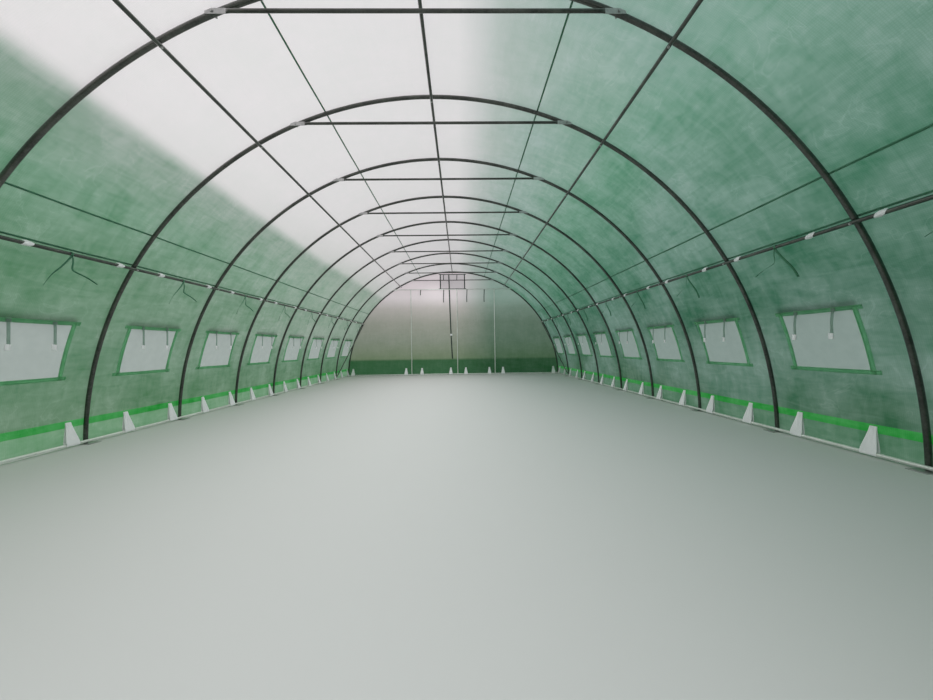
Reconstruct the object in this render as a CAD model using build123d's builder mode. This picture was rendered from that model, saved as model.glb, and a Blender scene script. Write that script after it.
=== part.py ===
"""Polytunnel greenhouse, 6 m wide and 10 m long, with its cover on.

Round steel hoops stand on foot plates a bay apart. Five purlins run under them, a collar
tie spans each crown, and a base rail joins the feet. The cover is five lengthwise strips
of film with one net window per bay, a skirt at each side and a film wall at each end.

Millimetres and degrees. The origin is on the ground in the middle of the tunnel, +X is to
the right, +Y runs along the tunnel to the closed end, and +Z is up.
"""

import os
from math import asin, cos, degrees, radians, sin, sqrt

from build123d import *

os.makedirs("parts", exist_ok=True)

# Overall sizes
span = 6000  # across the outside of the hoops
bays = 10
bay = 1000  # from hoop to hoop
centre_drop = 60  # the circle of the hoops is centred this far below the ground
fit = 0.3  # gap between pieces that bear on each other

# Tubes
hoop_tube = 32
purlin_tube = 25
rail_tube = 25
post_tube = 25
tie_tube = 22
brace_tube = 22
tube_sides = 8  # the bent and the pressed tubes repeat, so they are drawn with eight flats

# Feet of the hoops
plate_thickness = 4
plate_width = 100
plate_depth = 100
peg_hole = 10
peg_inset = 18  # from two edges of the plate to the middle of its peg hole

# Flattened and drilled ends of the collar ties and of the door headers
lap_length = 108
lap_width = 33
lap_thickness = 2.4
lap_edge = 0.7  # small bevel along the pressed edges
lap_transition = 30
lap_hole = 7
lap_bolt_inset = 40  # from the end of the lap to its bolt
tie_drop = 234  # from the middle of the hoop's tube at the crown down to the collar tie

# Places of the lengthwise tubes
haunch_angle = 29.6  # from the crown, along the hoop
side_angle = 58.8
rail_height = 25  # middle of the base rail above the ground
brace_top_gap = 32  # from the side purlin to the top of a brace, along the hoop
brace_foot_height = 75

# Film
film_thickness = 3
film_ground_gap = 4
centre_strip_angle = 17.6  # from the crown to the first seam
roof_strip_angle = 52.7  # from the crown to the second seam
wall_film_bottom = 160
skirt_top = 220

# Windows in the wall film, one per bay
window_width = 510
window_low_angle = 12.4  # above the level of the hoop's centre
window_high_angle = 20.4
hem_width = 30
hem_thickness = 2
net_thickness = 1.5
roll_diameter = 45  # the window's flap, rolled up above it on the outside
roll_overhang = 25

# End walls
post_x = 1185  # from the middle of the tunnel to each door post
middle_post_x = 120
header_drop = 494  # from the middle of the hoop's tube at the crown down to the door header
vent_width = 660
vent_gap = 30  # from the middle of the header up to the vent
vent_height = 390
door_roll_diameter = 110

# White fastening straps round the base rails and the sills
strap_width = 105
strap_top_width = 60
strap_top_height = 205
strap_thickness = 1.5
strap_sides = 6  # the wrap round the tube is drawn with six flats
strap_starts_right = (280, 790)  # from each hoop to the middle of a strap
strap_starts_left = (360, 870)
corner_strap_inset = 90  # from the end of a sill to the middle of its last strap
left_post_straps = (-165, 285)  # from the left door post to the straps beside it
middle_post_straps = (-200, 230)
right_post_straps = (-165, 225)

# Sizes worked out from those above
length = bays * bay
hoop_outer = span / 2
hoop_inner = hoop_outer - hoop_tube
hoop_middle = hoop_outer - hoop_tube / 2
film_inner = hoop_outer + fit
film_outer = film_inner + film_thickness
skirt_inner = film_outer + fit
skirt_outer = skirt_inner + film_thickness
end_face = length / 2 + hoop_tube / 2
end_film_face = end_face + fit
cover_half = end_film_face + film_thickness
hoop_places = [-length / 2 + bay * i for i in range(bays + 1)]
window_places = [place + bay / 2 for place in hoop_places[:-1]]
lap_offset = hoop_tube / 2 + lap_thickness / 2
end_frame_y = length / 2 - lap_offset
centre = (0, -centre_drop)
crown = 90


def on_circle(radius, height):
    """How far from the middle a circle of the hoops' centre is, at a height."""
    return sqrt(radius**2 - (height + centre_drop) ** 2)


def angle_at(radius, height):
    """The angle above the hoops' centre at which such a circle reaches a height."""
    return degrees(asin((height + centre_drop) / radius))


rail_x = on_circle(hoop_inner, rail_height + rail_tube / 2) - rail_tube / 2 - fit
sill_half = rail_x - rail_tube / 2 - fit
strap_reach = on_circle(film_inner, strap_top_height) - fit - rail_x
end_strap_reach = end_face - end_frame_y
tie_height = hoop_middle - centre_drop - tie_drop
header_height = hoop_middle - centre_drop - header_drop
vent_bottom = header_height + vent_gap
vent_top = vent_bottom + vent_height


def ring_sector(inner, outer, start, end):
    """A face between two circles of the hoops' centre, from one angle to another."""
    with BuildSketch(mode=Mode.PRIVATE) as face:
        with BuildLine():
            low = CenterArc(centre, inner, start, end - start)
            high = CenterArc(centre, outer, start, end - start)
            Line(low @ 0, high @ 0)
            Line(low @ 1, high @ 1)
        make_face()
    return face.sketch


def eight_flats(diameter):
    """A tube's section drawn with eight flats, four of which face along the axes."""
    with BuildSketch(mode=Mode.PRIVATE) as section:
        RegularPolygon(diameter / 2, tube_sides, major_radius=False, rotation=180 / tube_sides)
    return section.sketch


def pressed_flat():
    """The pressed end's section, whose eight edges run the same way as the tube's flats."""
    with BuildSketch(mode=Mode.PRIVATE) as section:
        Rectangle(lap_thickness, lap_width)
        chamfer(section.vertices(), lap_edge)
    return section.sketch


def across(y):
    """The upright plane across the tunnel at y, seen from the open end."""
    return Plane.XZ.offset(-y)


def save(piece, name):
    piece.part.label = name
    export_step(piece.part, f"parts/{name}.step")


def mirrored(piece):
    """The same piece on the other side of the tunnel."""
    with BuildPart() as other:
        mirror(piece.part, about=Plane.YZ)
    return other


def tube_between(start, end, diameter):
    """A straight round tube."""
    run = Vector(*end) - Vector(*start)
    with BuildPart() as tube:
        with BuildSketch(Plane(origin=start, z_dir=run)):
            Circle(diameter / 2)
        extrude(amount=run.length)
    return tube.part


def flattened_tube(height):
    """A tube across the tunnel whose ends are pressed flat and bolted to a hoop at a height."""
    bolt_x = on_circle(hoop_middle, height)
    lap_start = bolt_x + lap_bolt_inset - lap_length
    round_half = lap_start - lap_transition
    with BuildPart() as tube:
        with BuildSketch(Plane.YZ):
            add(eight_flats(tie_tube))
        extrude(amount=round_half)
        with BuildSketch(Plane.YZ.offset(round_half)):
            add(eight_flats(tie_tube))
        with BuildSketch(Plane.YZ.offset(lap_start)):
            add(pressed_flat())
        loft(ruled=True)
        with BuildSketch(Plane.YZ.offset(lap_start)):
            add(pressed_flat())
        extrude(amount=lap_length)
        with BuildSketch(Plane.XZ.offset(-tie_tube / 2)):
            with Locations((0, -height - centre_drop)):
                Circle(hoop_outer)
            with Locations((bolt_x, 0)):
                Circle(lap_hole / 2, mode=Mode.SUBTRACT)
        extrude(amount=tie_tube, mode=Mode.INTERSECT)
        mirror(about=Plane.YZ)
    return tube.part


def base_strap(reach):
    """A strap that is folded round a base tube and runs up to the film, reach further out."""
    inner = rail_tube / 2 + fit
    outer = inner + strap_thickness
    rise = strap_top_height - rail_height
    cut = (strap_width - strap_top_width) / 2
    flat = 180 / strap_sides
    with BuildPart() as strap:
        with BuildSketch(Plane.XZ.offset(-strap_width / 2)):
            RegularPolygon(outer, strap_sides, major_radius=False, rotation=flat)
            with BuildLine():
                Polyline(
                    (inner, 0),
                    (outer, 0),
                    (reach, rise),
                    (reach - strap_thickness, rise),
                    close=True,
                )
            make_face()
            RegularPolygon(
                inner, strap_sides, major_radius=False, rotation=flat, mode=Mode.SUBTRACT
            )
        extrude(amount=strap_width)
        with BuildSketch(Plane.YZ):
            for side in (-1, 1):
                edge = side * strap_width / 2
                with BuildLine():
                    Polyline((edge, outer), (edge, rise), (edge - side * cut, rise), close=True)
                make_face()
        extrude(amount=2 * reach, both=True, mode=Mode.SUBTRACT)
    return strap.part


# Hoops, each an arc of tube that stands on its two foot plates
foot_angle = angle_at(hoop_middle, 0)
with BuildPart() as bent_tube:
    with BuildLine(across(0)) as bend:
        CenterArc(centre, hoop_middle, foot_angle, 180 - 2 * foot_angle)
    with BuildSketch(Plane(origin=bend.line @ 0, x_dir=(0, 1, 0), z_dir=bend.line % 0)):
        add(eight_flats(hoop_tube))
    sweep()
    split(bisect_by=Plane.XY.offset(plate_thickness), keep=Keep.TOP)
for number, y in enumerate(hoop_places, start=1):
    with BuildPart() as hoop:
        with Locations((0, y, 0)):
            add(bent_tube.part)
    save(hoop, f"hoop_{number:02d}")

# Foot plates; those of the end hoops stay inside the film. The hole for the ground peg is in the
# plate's inner corner, beside the hoop and towards the middle of the tunnel, where a peg is
# driven clear of the hoop, the rail and the sill
plate_x = hoop_outer - plate_width / 2
peg_x = hoop_outer - plate_width + peg_inset
peg_offset = plate_depth / 2 - peg_inset
last_plate_y = end_face - plate_depth / 2
with BuildPart() as foot_plates:
    with BuildSketch():
        for y in hoop_places:
            plate_y = min(max(y, -last_plate_y), last_plate_y)
            with Locations((plate_x, plate_y)):
                Rectangle(plate_width, plate_depth)
            peg_y = plate_y + peg_offset if y < 0 else plate_y - peg_offset
            with Locations((peg_x, peg_y)):
                Circle(peg_hole / 2, mode=Mode.SUBTRACT)
    extrude(amount=plate_thickness)
save(foot_plates, "foot_plates_right")
save(mirrored(foot_plates), "foot_plates_left")

# Collar ties, bolted to the face of each hoop that looks down the tunnel
first_tie = (0, hoop_places[0] + lap_offset, tie_height)
other_ties = [(0, y - lap_offset, tie_height) for y in hoop_places[1:]]
with BuildPart() as collar_ties:
    with Locations(first_tie, *other_ties):
        add(flattened_tube(tie_height))
save(collar_ties, "collar_ties")

# Purlins, under the hoops
purlin_radius = hoop_inner - purlin_tube / 2 - fit
purlin_half = length / 2 + purlin_tube / 2
purlins = {
    "ridge_purlin": 0,
    "haunch_purlin_left": -haunch_angle,
    "haunch_purlin_right": haunch_angle,
    "side_purlin_left": -side_angle,
    "side_purlin_right": side_angle,
}
for name, angle in purlins.items():
    x = purlin_radius * sin(radians(angle))
    z = purlin_radius * cos(radians(angle)) - centre_drop
    with BuildPart() as purlin:
        add(tube_between((x, -purlin_half, z), (x, purlin_half, z), purlin_tube))
    save(purlin, name)

# Base rails along the feet, and sills across both ends
for name, side in (("base_rail_left", -1), ("base_rail_right", 1)):
    x = side * rail_x
    with BuildPart() as rail:
        add(tube_between((x, -purlin_half, rail_height), (x, purlin_half, rail_height), rail_tube))
    save(rail, name)
with BuildPart() as sills:
    for y in (-end_frame_y, end_frame_y):
        ends = (-sill_half, y, rail_height), (sill_half, y, rail_height)
        add(tube_between(*ends, rail_tube))
save(sills, "end_sills")

# Door frames: a header bolted to the end hoop, and three posts between it and the sill
header = flattened_tube(header_height)
post_foot = rail_height + rail_tube / 2 + fit
post_top = header_height - tie_tube / 2 - fit
for name, side in (("door_frame_front", -1), ("door_frame_back", 1)):
    y = side * end_frame_y
    with BuildPart() as frame:
        with Locations((0, y, header_height)):
            add(header)
        for x in (-post_x, side * middle_post_x, post_x):
            add(tube_between((x, y, post_foot), (x, y, post_top), post_tube))
    save(frame, name)

# Diagonal braces in both end bays, from the side purlin to the foot of the next hoop
brace_radius = hoop_inner - brace_tube / 2 - fit
brace_top_angle = 90 - side_angle - degrees(brace_top_gap / brace_radius)
brace_foot_angle = angle_at(brace_radius, brace_foot_height)
with BuildPart() as braces:
    for side in (-1, 1):
        for end in (-1, 1):
            top = radians(brace_top_angle)
            foot = radians(brace_foot_angle)
            upper = (
                side * brace_radius * cos(top),
                end * length / 2,
                brace_radius * sin(top) - centre_drop,
            )
            lower = (
                side * brace_radius * cos(foot),
                end * (length / 2 - bay),
                brace_radius * sin(foot) - centre_drop,
            )
            add(tube_between(upper, lower, brace_tube))
save(braces, "braces")

# Roof film, three strips that meet at the seams
seam_angles = (
    crown - roof_strip_angle,
    crown - centre_strip_angle,
    crown + centre_strip_angle,
    crown + roof_strip_angle,
)
roof_names = ("roof_film_right", "roof_film_centre", "roof_film_left")
for name, start, end in zip(roof_names, seam_angles[:-1], seam_angles[1:]):
    with BuildPart() as strip:
        with BuildSketch(across(-cover_half)):
            add(ring_sector(film_inner, film_outer, start, end))
        extrude(amount=-2 * cover_half)
    save(strip, name)

# Wall film with a window in each bay
with BuildPart() as wall_film:
    with BuildSketch(across(-cover_half)):
        low_angle = angle_at(film_inner, wall_film_bottom)
        add(ring_sector(film_inner, film_outer, low_angle, seam_angles[0]))
    extrude(amount=-2 * cover_half)
    for y in window_places:
        with BuildSketch(across(y - window_width / 2)):
            add(
                ring_sector(
                    film_inner - fit, film_outer + fit, window_low_angle, window_high_angle
                )
            )
        extrude(amount=-window_width, mode=Mode.SUBTRACT)
save(wall_film, "wall_film_right")
save(mirrored(wall_film), "wall_film_left")

# Nets that fill the windows
net_inner = film_inner + (film_thickness - net_thickness) / 2
with BuildPart() as nets:
    for y in window_places:
        with BuildSketch(across(y - window_width / 2)):
            add(
                ring_sector(
                    net_inner, net_inner + net_thickness, window_low_angle, window_high_angle
                )
            )
        extrude(amount=-window_width)
save(nets, "window_nets_right")
save(mirrored(nets), "window_nets_left")

# Hems sewn round the windows on the inside
hem_outer = film_inner - fit
hem_inner = hem_outer - hem_thickness
hem_angle = degrees(hem_width / hem_outer)
with BuildPart() as hems:
    for y in window_places:
        with BuildSketch(across(y - window_width / 2 - hem_width)):
            hem_low = window_low_angle - hem_angle
            hem_high = window_high_angle + hem_angle
            add(ring_sector(hem_inner, hem_outer, hem_low, hem_high))
        extrude(amount=-(window_width + 2 * hem_width))
        with BuildSketch(across(y - window_width / 2)):
            add(ring_sector(hem_inner - fit, hem_outer + fit, window_low_angle, window_high_angle))
        extrude(amount=-window_width, mode=Mode.SUBTRACT)
save(hems, "window_hems_right")
save(mirrored(hems), "window_hems_left")

# Window flaps, rolled up outside above the windows; one flat of each roll faces the film
roll_radius = film_outer + fit + roll_diameter / 2
roll_angle = radians(window_high_angle + degrees(roll_diameter / roll_radius))
outwards = Vector(cos(roll_angle), 0, sin(roll_angle))
roll_length = window_width + 2 * roll_overhang
with BuildPart() as rolls:
    for y in window_places:
        start = outwards * roll_radius + Vector(0, y - roll_length / 2, -centre_drop)
        with BuildSketch(Plane(origin=start, x_dir=outwards, z_dir=(0, 1, 0))):
            add(eight_flats(roll_diameter))
        extrude(amount=roll_length)
save(rolls, "window_rolls_right")
save(mirrored(rolls), "window_rolls_left")

# Skirts, which overlap the wall film's lower edge on the outside
with BuildPart() as skirt:
    with BuildSketch(across(-cover_half)):
        skirt_low_angle = angle_at(skirt_inner, film_ground_gap)
        skirt_high_angle = angle_at(skirt_inner, skirt_top)
        add(ring_sector(skirt_inner, skirt_outer, skirt_low_angle, skirt_high_angle))
    extrude(amount=-2 * cover_half)
save(skirt, "skirt_right")
save(mirrored(skirt), "skirt_left")

# End films, with a vent over the header and a doorway under it
end_film_angle = angle_at(hoop_outer, film_ground_gap)
vent_middle = (vent_bottom + vent_top) / 2
door_middle = (film_ground_gap + header_height) / 2
door_height = header_height - film_ground_gap
for name, y in (("end_film_front", -cover_half), ("end_film_back", end_film_face)):
    with BuildPart() as end_film:
        with BuildSketch(across(y)):
            with BuildLine():
                arch = CenterArc(centre, hoop_outer, end_film_angle, 180 - 2 * end_film_angle)
                Line(arch @ 0, arch @ 1)
            make_face()
            with Locations((0, vent_middle)):
                Rectangle(vent_width, vent_height, mode=Mode.SUBTRACT)
            with Locations((0, door_middle)):
                Rectangle(2 * post_x, door_height, mode=Mode.SUBTRACT)
        extrude(amount=-film_thickness)
    save(end_film, name)

# The far door, let down to fill its doorway, and the near one rolled up inside the header
with BuildPart() as door_film:
    with BuildSketch(across(end_film_face)):
        with Locations((0, door_middle)):
            Rectangle(2 * post_x, door_height)
    extrude(amount=-film_thickness)
save(door_film, "door_film_back")
door_roll_y = -end_frame_y + post_tube / 2 + fit + door_roll_diameter / 2
door_roll_z = header_height - tie_tube / 2 - fit - door_roll_diameter / 2
with BuildPart() as door_roll:
    ends = (-post_x, door_roll_y, door_roll_z), (post_x, door_roll_y, door_roll_z)
    add(tube_between(*ends, door_roll_diameter))
save(door_roll, "door_roll_front")

# Vent nets and their hems
net_inset = (film_thickness - net_thickness) / 2
with BuildPart() as vent_nets:
    for y in (-cover_half + net_inset, end_film_face + net_inset):
        with BuildSketch(across(y)):
            with Locations((0, vent_middle)):
                Rectangle(vent_width, vent_height)
        extrude(amount=-net_thickness)
save(vent_nets, "vent_nets")
with BuildPart() as vent_hems:
    for y in (-end_face, end_face - hem_thickness):
        with BuildSketch(across(y)):
            with Locations((0, vent_middle)):
                Rectangle(vent_width + 2 * hem_width, vent_height + 2 * hem_width)
                Rectangle(vent_width, vent_height, mode=Mode.SUBTRACT)
        extrude(amount=-hem_thickness)
save(vent_hems, "vent_hems")

# Straps that hold the film to the base rails and the sills
corner_strap_x = sill_half - corner_strap_inset
end_straps = [-corner_strap_x, corner_strap_x]
end_straps += [start - post_x for start in left_post_straps]
end_straps += [start + middle_post_x for start in middle_post_straps]
end_straps += [start + post_x for start in right_post_straps]
bay_starts = hoop_places[:-1]
right_places = [(rail_x, y + start, rail_height) for y in bay_starts for start in strap_starts_right]
left_places = [(-rail_x, y + start, rail_height) for y in bay_starts for start in strap_starts_left]
back_places = [(x, end_frame_y, rail_height) for x in end_straps]
front_places = [(-x, -end_frame_y, rail_height) for x in end_straps if abs(x) > post_x]
side_strap = base_strap(strap_reach)
end_strap = base_strap(end_strap_reach)
with BuildPart() as straps:
    with Locations(*right_places):
        add(side_strap)
    with Locations(*left_places):
        add(side_strap, rotation=(0, 0, 180))
    with Locations(*back_places):
        add(end_strap, rotation=(0, 0, 90))
    with Locations(*front_places):
        add(end_strap, rotation=(0, 0, -90))
save(straps, "base_straps")
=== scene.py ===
# %% [markdown]
# # A polytunnel greenhouse
#
# The real thing is a row of bent steel hoops under a skin of green, woven plastic film. The
# photograph stands in its open doorway and looks down its length. The CAD model already holds
# the structure at its real size. This notebook gives every piece its surface: smooth round
# tube, slack film with a scrim in it, net windows, tapes, straps and bolts.
#
# All lengths are metres, in the same frame as the CAD: X to the right, Y along the tunnel to
# its closed end, Z up from the ground.

from contextlib import contextmanager
import math

import bmesh
import bpy
import numpy as np
from mathutils import Matrix, Vector


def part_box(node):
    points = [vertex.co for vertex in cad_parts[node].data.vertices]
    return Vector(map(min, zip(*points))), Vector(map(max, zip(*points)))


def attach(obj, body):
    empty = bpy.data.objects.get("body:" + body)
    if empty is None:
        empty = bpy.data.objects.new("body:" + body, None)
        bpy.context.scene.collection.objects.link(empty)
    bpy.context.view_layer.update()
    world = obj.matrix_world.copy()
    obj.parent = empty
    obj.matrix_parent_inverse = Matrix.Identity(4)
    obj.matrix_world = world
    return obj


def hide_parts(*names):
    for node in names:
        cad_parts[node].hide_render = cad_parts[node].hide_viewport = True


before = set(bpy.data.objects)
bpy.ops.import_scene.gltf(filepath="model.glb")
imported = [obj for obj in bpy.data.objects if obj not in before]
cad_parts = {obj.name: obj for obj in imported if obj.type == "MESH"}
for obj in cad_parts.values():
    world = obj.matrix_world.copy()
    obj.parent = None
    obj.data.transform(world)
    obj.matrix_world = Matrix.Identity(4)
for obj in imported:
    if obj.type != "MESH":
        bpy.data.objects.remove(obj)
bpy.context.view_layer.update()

# %% [markdown]
# ## Sizes that come from the frame
#
# A hoop is an arc, and an arc's radius follows from its chord and its rise. With that radius
# and the hoops' places along Y, nearly everything else can be placed by an angle from the
# crown and a distance down the tunnel, as the maker's drawings do.

# %% Read the hoops
BODY = "root"
SIDES = ((-1, "left"), (1, "right"))
ENDS = ((-1, "front"), (1, "back"))


def middle(name, axis):
    """The middle of a CAD node's box along one axis."""
    low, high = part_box(name)
    return (low[axis] + high[axis]) / 2


def across(name, axis):
    """The size of a CAD node's box along one axis."""
    low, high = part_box(name)
    return high[axis] - low[axis]


hoop_names = sorted(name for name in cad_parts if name.startswith("hoop_"))
hoop_places = [middle(name, 1) for name in hoop_names]
bay = hoop_places[1] - hoop_places[0]
bay_middles = [place + bay / 2 for place in hoop_places[:-1]]
hoop_tube = across("hoop_06", 1)
hoop_low, hoop_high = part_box("hoop_06")
rise = hoop_high.z - hoop_low.z
hoop_outer = (hoop_high.x**2 + rise**2) / (2 * rise)
hoop_middle = hoop_outer - hoop_tube / 2
centre_z = hoop_high.z - hoop_outer
end_y = hoop_places[-1] + hoop_tube / 2
film_gap = 0.0018
film_radius = hoop_outer + film_gap
cover_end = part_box("roof_film_centre")[1].y
print("hoops", len(hoop_names), "bay", round(bay, 4), "radius", round(hoop_outer, 4))
print("centre height", round(centre_z, 4), "end", round(end_y, 4), "cover end", round(cover_end, 4))

# %% [markdown]
# ## The camera
#
# The camera comes first, because it decides how much detail each piece needs. Its place and
# lens were found by laying the hoops' circles over the photograph: a very wide lens, low
# down, just outside the open doorway, with the picture turned by less than a degree.

# %% Place the camera
photo_width = 933
focal_length_in_pixels = 352
camera_place = Vector((0.2245, -5.038, 0.77))
yaw = math.radians(0.85)
pitch = math.radians(-0.40)
roll = math.radians(0.80)

forward = Vector((math.sin(yaw) * math.cos(pitch), math.cos(yaw) * math.cos(pitch), math.sin(pitch)))
level = Vector((math.cos(yaw), -math.sin(yaw), 0))
upward = level.cross(forward)
right = math.cos(roll) * level - math.sin(roll) * upward
top = math.sin(roll) * level + math.cos(roll) * upward

scene = bpy.context.scene
camera = bpy.data.objects.new("camera", bpy.data.cameras.new("camera"))
scene.collection.objects.link(camera)
camera.data.sensor_width = 36
camera.data.lens = focal_length_in_pixels / photo_width * camera.data.sensor_width
camera.data.clip_start = 0.01
camera.matrix_world = Matrix.Translation(camera_place) @ Matrix((right, top, -forward)).transposed().to_4x4()
scene.camera = camera
print("lens", round(camera.data.lens, 2), "mm")

# %% [markdown]
# ## Small helpers for shader nodes
#
# Every finish here is built from nodes, so that it has detail at any distance. These helpers
# keep that readable: they add a node and feed it, do arithmetic, mix colours and shaders, and
# start a group or a material.

# %% Node helpers


def feed(tree, socket, value):
    """Sets a socket to a value, or joins it to another node's socket."""
    if isinstance(value, bpy.types.NodeSocket):
        tree.links.new(value, socket)
    else:
        socket.default_value = value


def feed_all(tree, node, **inputs):
    """Feeds a node's inputs by name, with an underscore for each space."""
    for name, value in inputs.items():
        feed(tree, node.inputs[name.replace("_", " ")], value)
    return node


def add_node(tree, kind, settings=None, **inputs):
    """Adds a node with its settings, and feeds its inputs by name."""
    made = tree.nodes.new(kind)
    for name, value in (settings or {}).items():
        setattr(made, name, value)
    return feed_all(tree, made, **inputs)


def calculate(tree, operation, first, second=0.0, clamp=False):
    """The result of one Math node."""
    made = add_node(tree, "ShaderNodeMath", {"operation": operation, "use_clamp": clamp})
    feed(tree, made.inputs[0], first)
    feed(tree, made.inputs[1], second)
    return made.outputs[0]


def product(tree, first, *others):
    """Several values multiplied."""
    for other in others:
        first = calculate(tree, "MULTIPLY", first, other)
    return first


def total(tree, first, second):
    """Two values added."""
    return calculate(tree, "ADD", first, second)


def distance_between(tree, first, second):
    """The difference of two values, without its sign."""
    return calculate(tree, "ABSOLUTE", calculate(tree, "SUBTRACT", first, second))


def vectors(tree, operation, first, second):
    """The result of one Vector Math node."""
    made = add_node(tree, "ShaderNodeVectorMath", {"operation": operation})
    feed(tree, made.inputs[0], first)
    feed(tree, made.inputs["Scale" if operation == "SCALE" else 1], second)
    return made.outputs["Vector"]


def noise(tree, place, scale, detail, **others):
    """Noise from 0 to 1 at a place."""
    made = add_node(tree, "ShaderNodeTexNoise", Vector=place, Scale=scale, Detail=detail, **others)
    return made.outputs["Fac"]


def bumps(tree, height, strength, distance):
    """A normal that follows a height."""
    made = add_node(tree, "ShaderNodeBump", Strength=strength, Distance=distance, Height=height)
    return made.outputs["Normal"]


def parts_of(tree, place):
    """The three parts of a place."""
    return add_node(tree, "ShaderNodeSeparateXYZ", Vector=place).outputs


def mix_colours(tree, share, first, second, blend="MIX"):
    """The result of mixing two colours."""
    made = add_node(tree, "ShaderNodeMix", {"data_type": "RGBA", "blend_type": blend})
    feed_all(tree, made, Factor=share, A=first, B=second)
    return made.outputs["Result"]


def mix_shaders(tree, share, first, second):
    """The result of mixing two shaders."""
    made = add_node(tree, "ShaderNodeMixShader", Fac=share)
    feed(tree, made.inputs[1], first)
    feed(tree, made.inputs[2], second)
    return made.outputs["Shader"]


def remap(tree, value, low, high, new_low=0.0, new_high=1.0):
    """A value spread from one range to another, and held at its ends."""
    made = add_node(tree, "ShaderNodeMapRange")
    feed_all(tree, made, Value=value, From_Min=low, From_Max=high, To_Min=new_low, To_Max=new_high)
    return made.outputs["Result"]


def ramp(tree, value, stops):
    """A colour that depends on a value, through stops of (place, colour)."""
    made = add_node(tree, "ShaderNodeValToRGB", Fac=value)
    elements = made.color_ramp.elements
    while len(elements) < len(stops):
        elements.new(0.5)
    for element, (place, colour) in zip(elements, stops):
        element.position = place
        element.color = colour
    return made.outputs["Color"]


def new_group(name, inputs, outputs, kind="ShaderNodeTree"):
    """A node group with sockets given by name and kind, and its input and output nodes."""
    tree = bpy.data.node_groups.new(name, kind)
    for in_out, sockets in (("INPUT", inputs), ("OUTPUT", outputs)):
        for label, socket in sockets.items():
            tree.interface.new_socket(label, in_out=in_out, socket_type=f"NodeSocket{socket}")
    return tree, tree.nodes.new("NodeGroupInput").outputs, tree.nodes.new("NodeGroupOutput")


def use_group(tree, group, **inputs):
    """The outputs of a shader node group placed in a material."""
    return add_node(tree, "ShaderNodeGroup", {"node_tree": group}, **inputs).outputs


def new_material(name):
    """A material, its node tree and its Principled shader."""
    material = bpy.data.materials.new(name)
    material.use_nodes = True
    return material, material.node_tree, material.node_tree.nodes["Principled BSDF"]


def show_shader(tree, shader, clear):
    """Makes a shader the material's surface, with a share of it clear."""
    if clear:
        hole = add_node(tree, "ShaderNodeBsdfTransparent")
        shader = mix_shaders(tree, clear, shader, hole.outputs["BSDF"])
    feed_all(tree, tree.nodes["Material Output"], Surface=shader)


def glowing(tree, shader, glow, colour, normal, **looks):
    """A Principled surface mixed with a share of the light that comes through from behind."""
    feed_all(tree, shader, Base_Color=colour, Normal=normal, **looks)
    through = add_node(tree, "ShaderNodeBsdfTranslucent", Color=colour, Normal=normal)
    return mix_shaders(tree, glow, shader.outputs["BSDF"], through.outputs["BSDF"])


def lit(colour, gain=1.0):
    """A colour as a screen shows it, from 0 to 255, in the linear values that nodes want."""
    shares = [value / 255 for value in colour]
    linear = [share / 12.92 if share <= 0.04045 else ((share + 0.055) / 1.055) ** 2.4 for share in shares]
    return (*[gain * value for value in linear], 1)


print("helpers ready")

# %% [markdown]
# ## Light and floor
#
# Film like this glows with the light that comes through it, so the light is soft and comes
# from all round. One wide lamp adds a little from above, and a long faint one fills the
# inside from under the crown. The floor is plain and pale, and so is what the camera sees
# of the sky.

# %% Set the light and the floor
scene.view_settings.view_transform = "Standard"

scene.world = bpy.data.worlds.new("soft_sky")
scene.world.use_nodes = True
sky = scene.world.node_tree
light_sky = feed_all(sky, sky.nodes["Background"], Color=(0.93, 0.95, 0.96, 1), Strength=1.12)
seen_sky = add_node(sky, "ShaderNodeBackground", Color=(0.80, 0.82, 0.83, 1))
seen = add_node(sky, "ShaderNodeLightPath").outputs["Is Camera Ray"]
both_skies = mix_shaders(sky, seen, light_sky.outputs["Background"], seen_sky.outputs["Background"])
feed_all(sky, sky.nodes["World Output"], Surface=both_skies)


def area_lamp(name, shape, size, energy, place):
    """A lamp that shines from a flat area, down along its own axis."""
    lamp = bpy.data.objects.new(name, bpy.data.lights.new(name, "AREA"))
    scene.collection.objects.link(lamp)
    lamp.data.shape = shape
    lamp.data.size = size
    lamp.data.energy = energy
    lamp.location = place
    return lamp


top_lamp = area_lamp("top_lamp", "DISK", 9, 150, (-4, -2, 11))
top_lamp.rotation_euler = Vector(top_lamp.location).to_track_quat("Z", "Y").to_euler()
fill_lamp = area_lamp("fill_lamp", "RECTANGLE", 0.6, 60, (-0.45, 0, 2.60))
fill_lamp.data.size_y = 9.4
fill_lamp.visible_camera = False

floor_reach = 60
floor_corners = [(-1, -1), (1, -1), (1, 1), (-1, 1)]
floor_mesh = bpy.data.meshes.new("floor")
floor_mesh.from_pydata([(x * floor_reach, y * floor_reach, 0) for x, y in floor_corners], [], [(0, 1, 2, 3)])
floor = bpy.data.objects.new("floor", floor_mesh)
scene.collection.objects.link(floor)
floor_finish, floor_tree, floor_shader = new_material("pale_floor")
feed_all(floor_tree, floor_shader, Base_Color=(0.6, 0.6, 0.59, 1), Roughness=0.75)
floor_mesh.materials.append(floor_finish)
print("floor", 2 * floor_reach, "m square")

# %% [markdown]
# ## Galvanised tube
#
# Hot-dipped zinc goes dull and grey-brown out of doors. Close up it has a faint spangle, and
# rain leaves lengthwise streaks. Seen against bright film the tubes look dark, with a pale
# line along the edge that faces the light, so the surface keeps some gloss. That dark look is
# painted into the hoops, ties, purlins and braces, whose finish is darker than zinc: painted
# shade. The rails, sills and door frames get a paler copy of it: painted light.

# %% The zinc effect and the tube material


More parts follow.
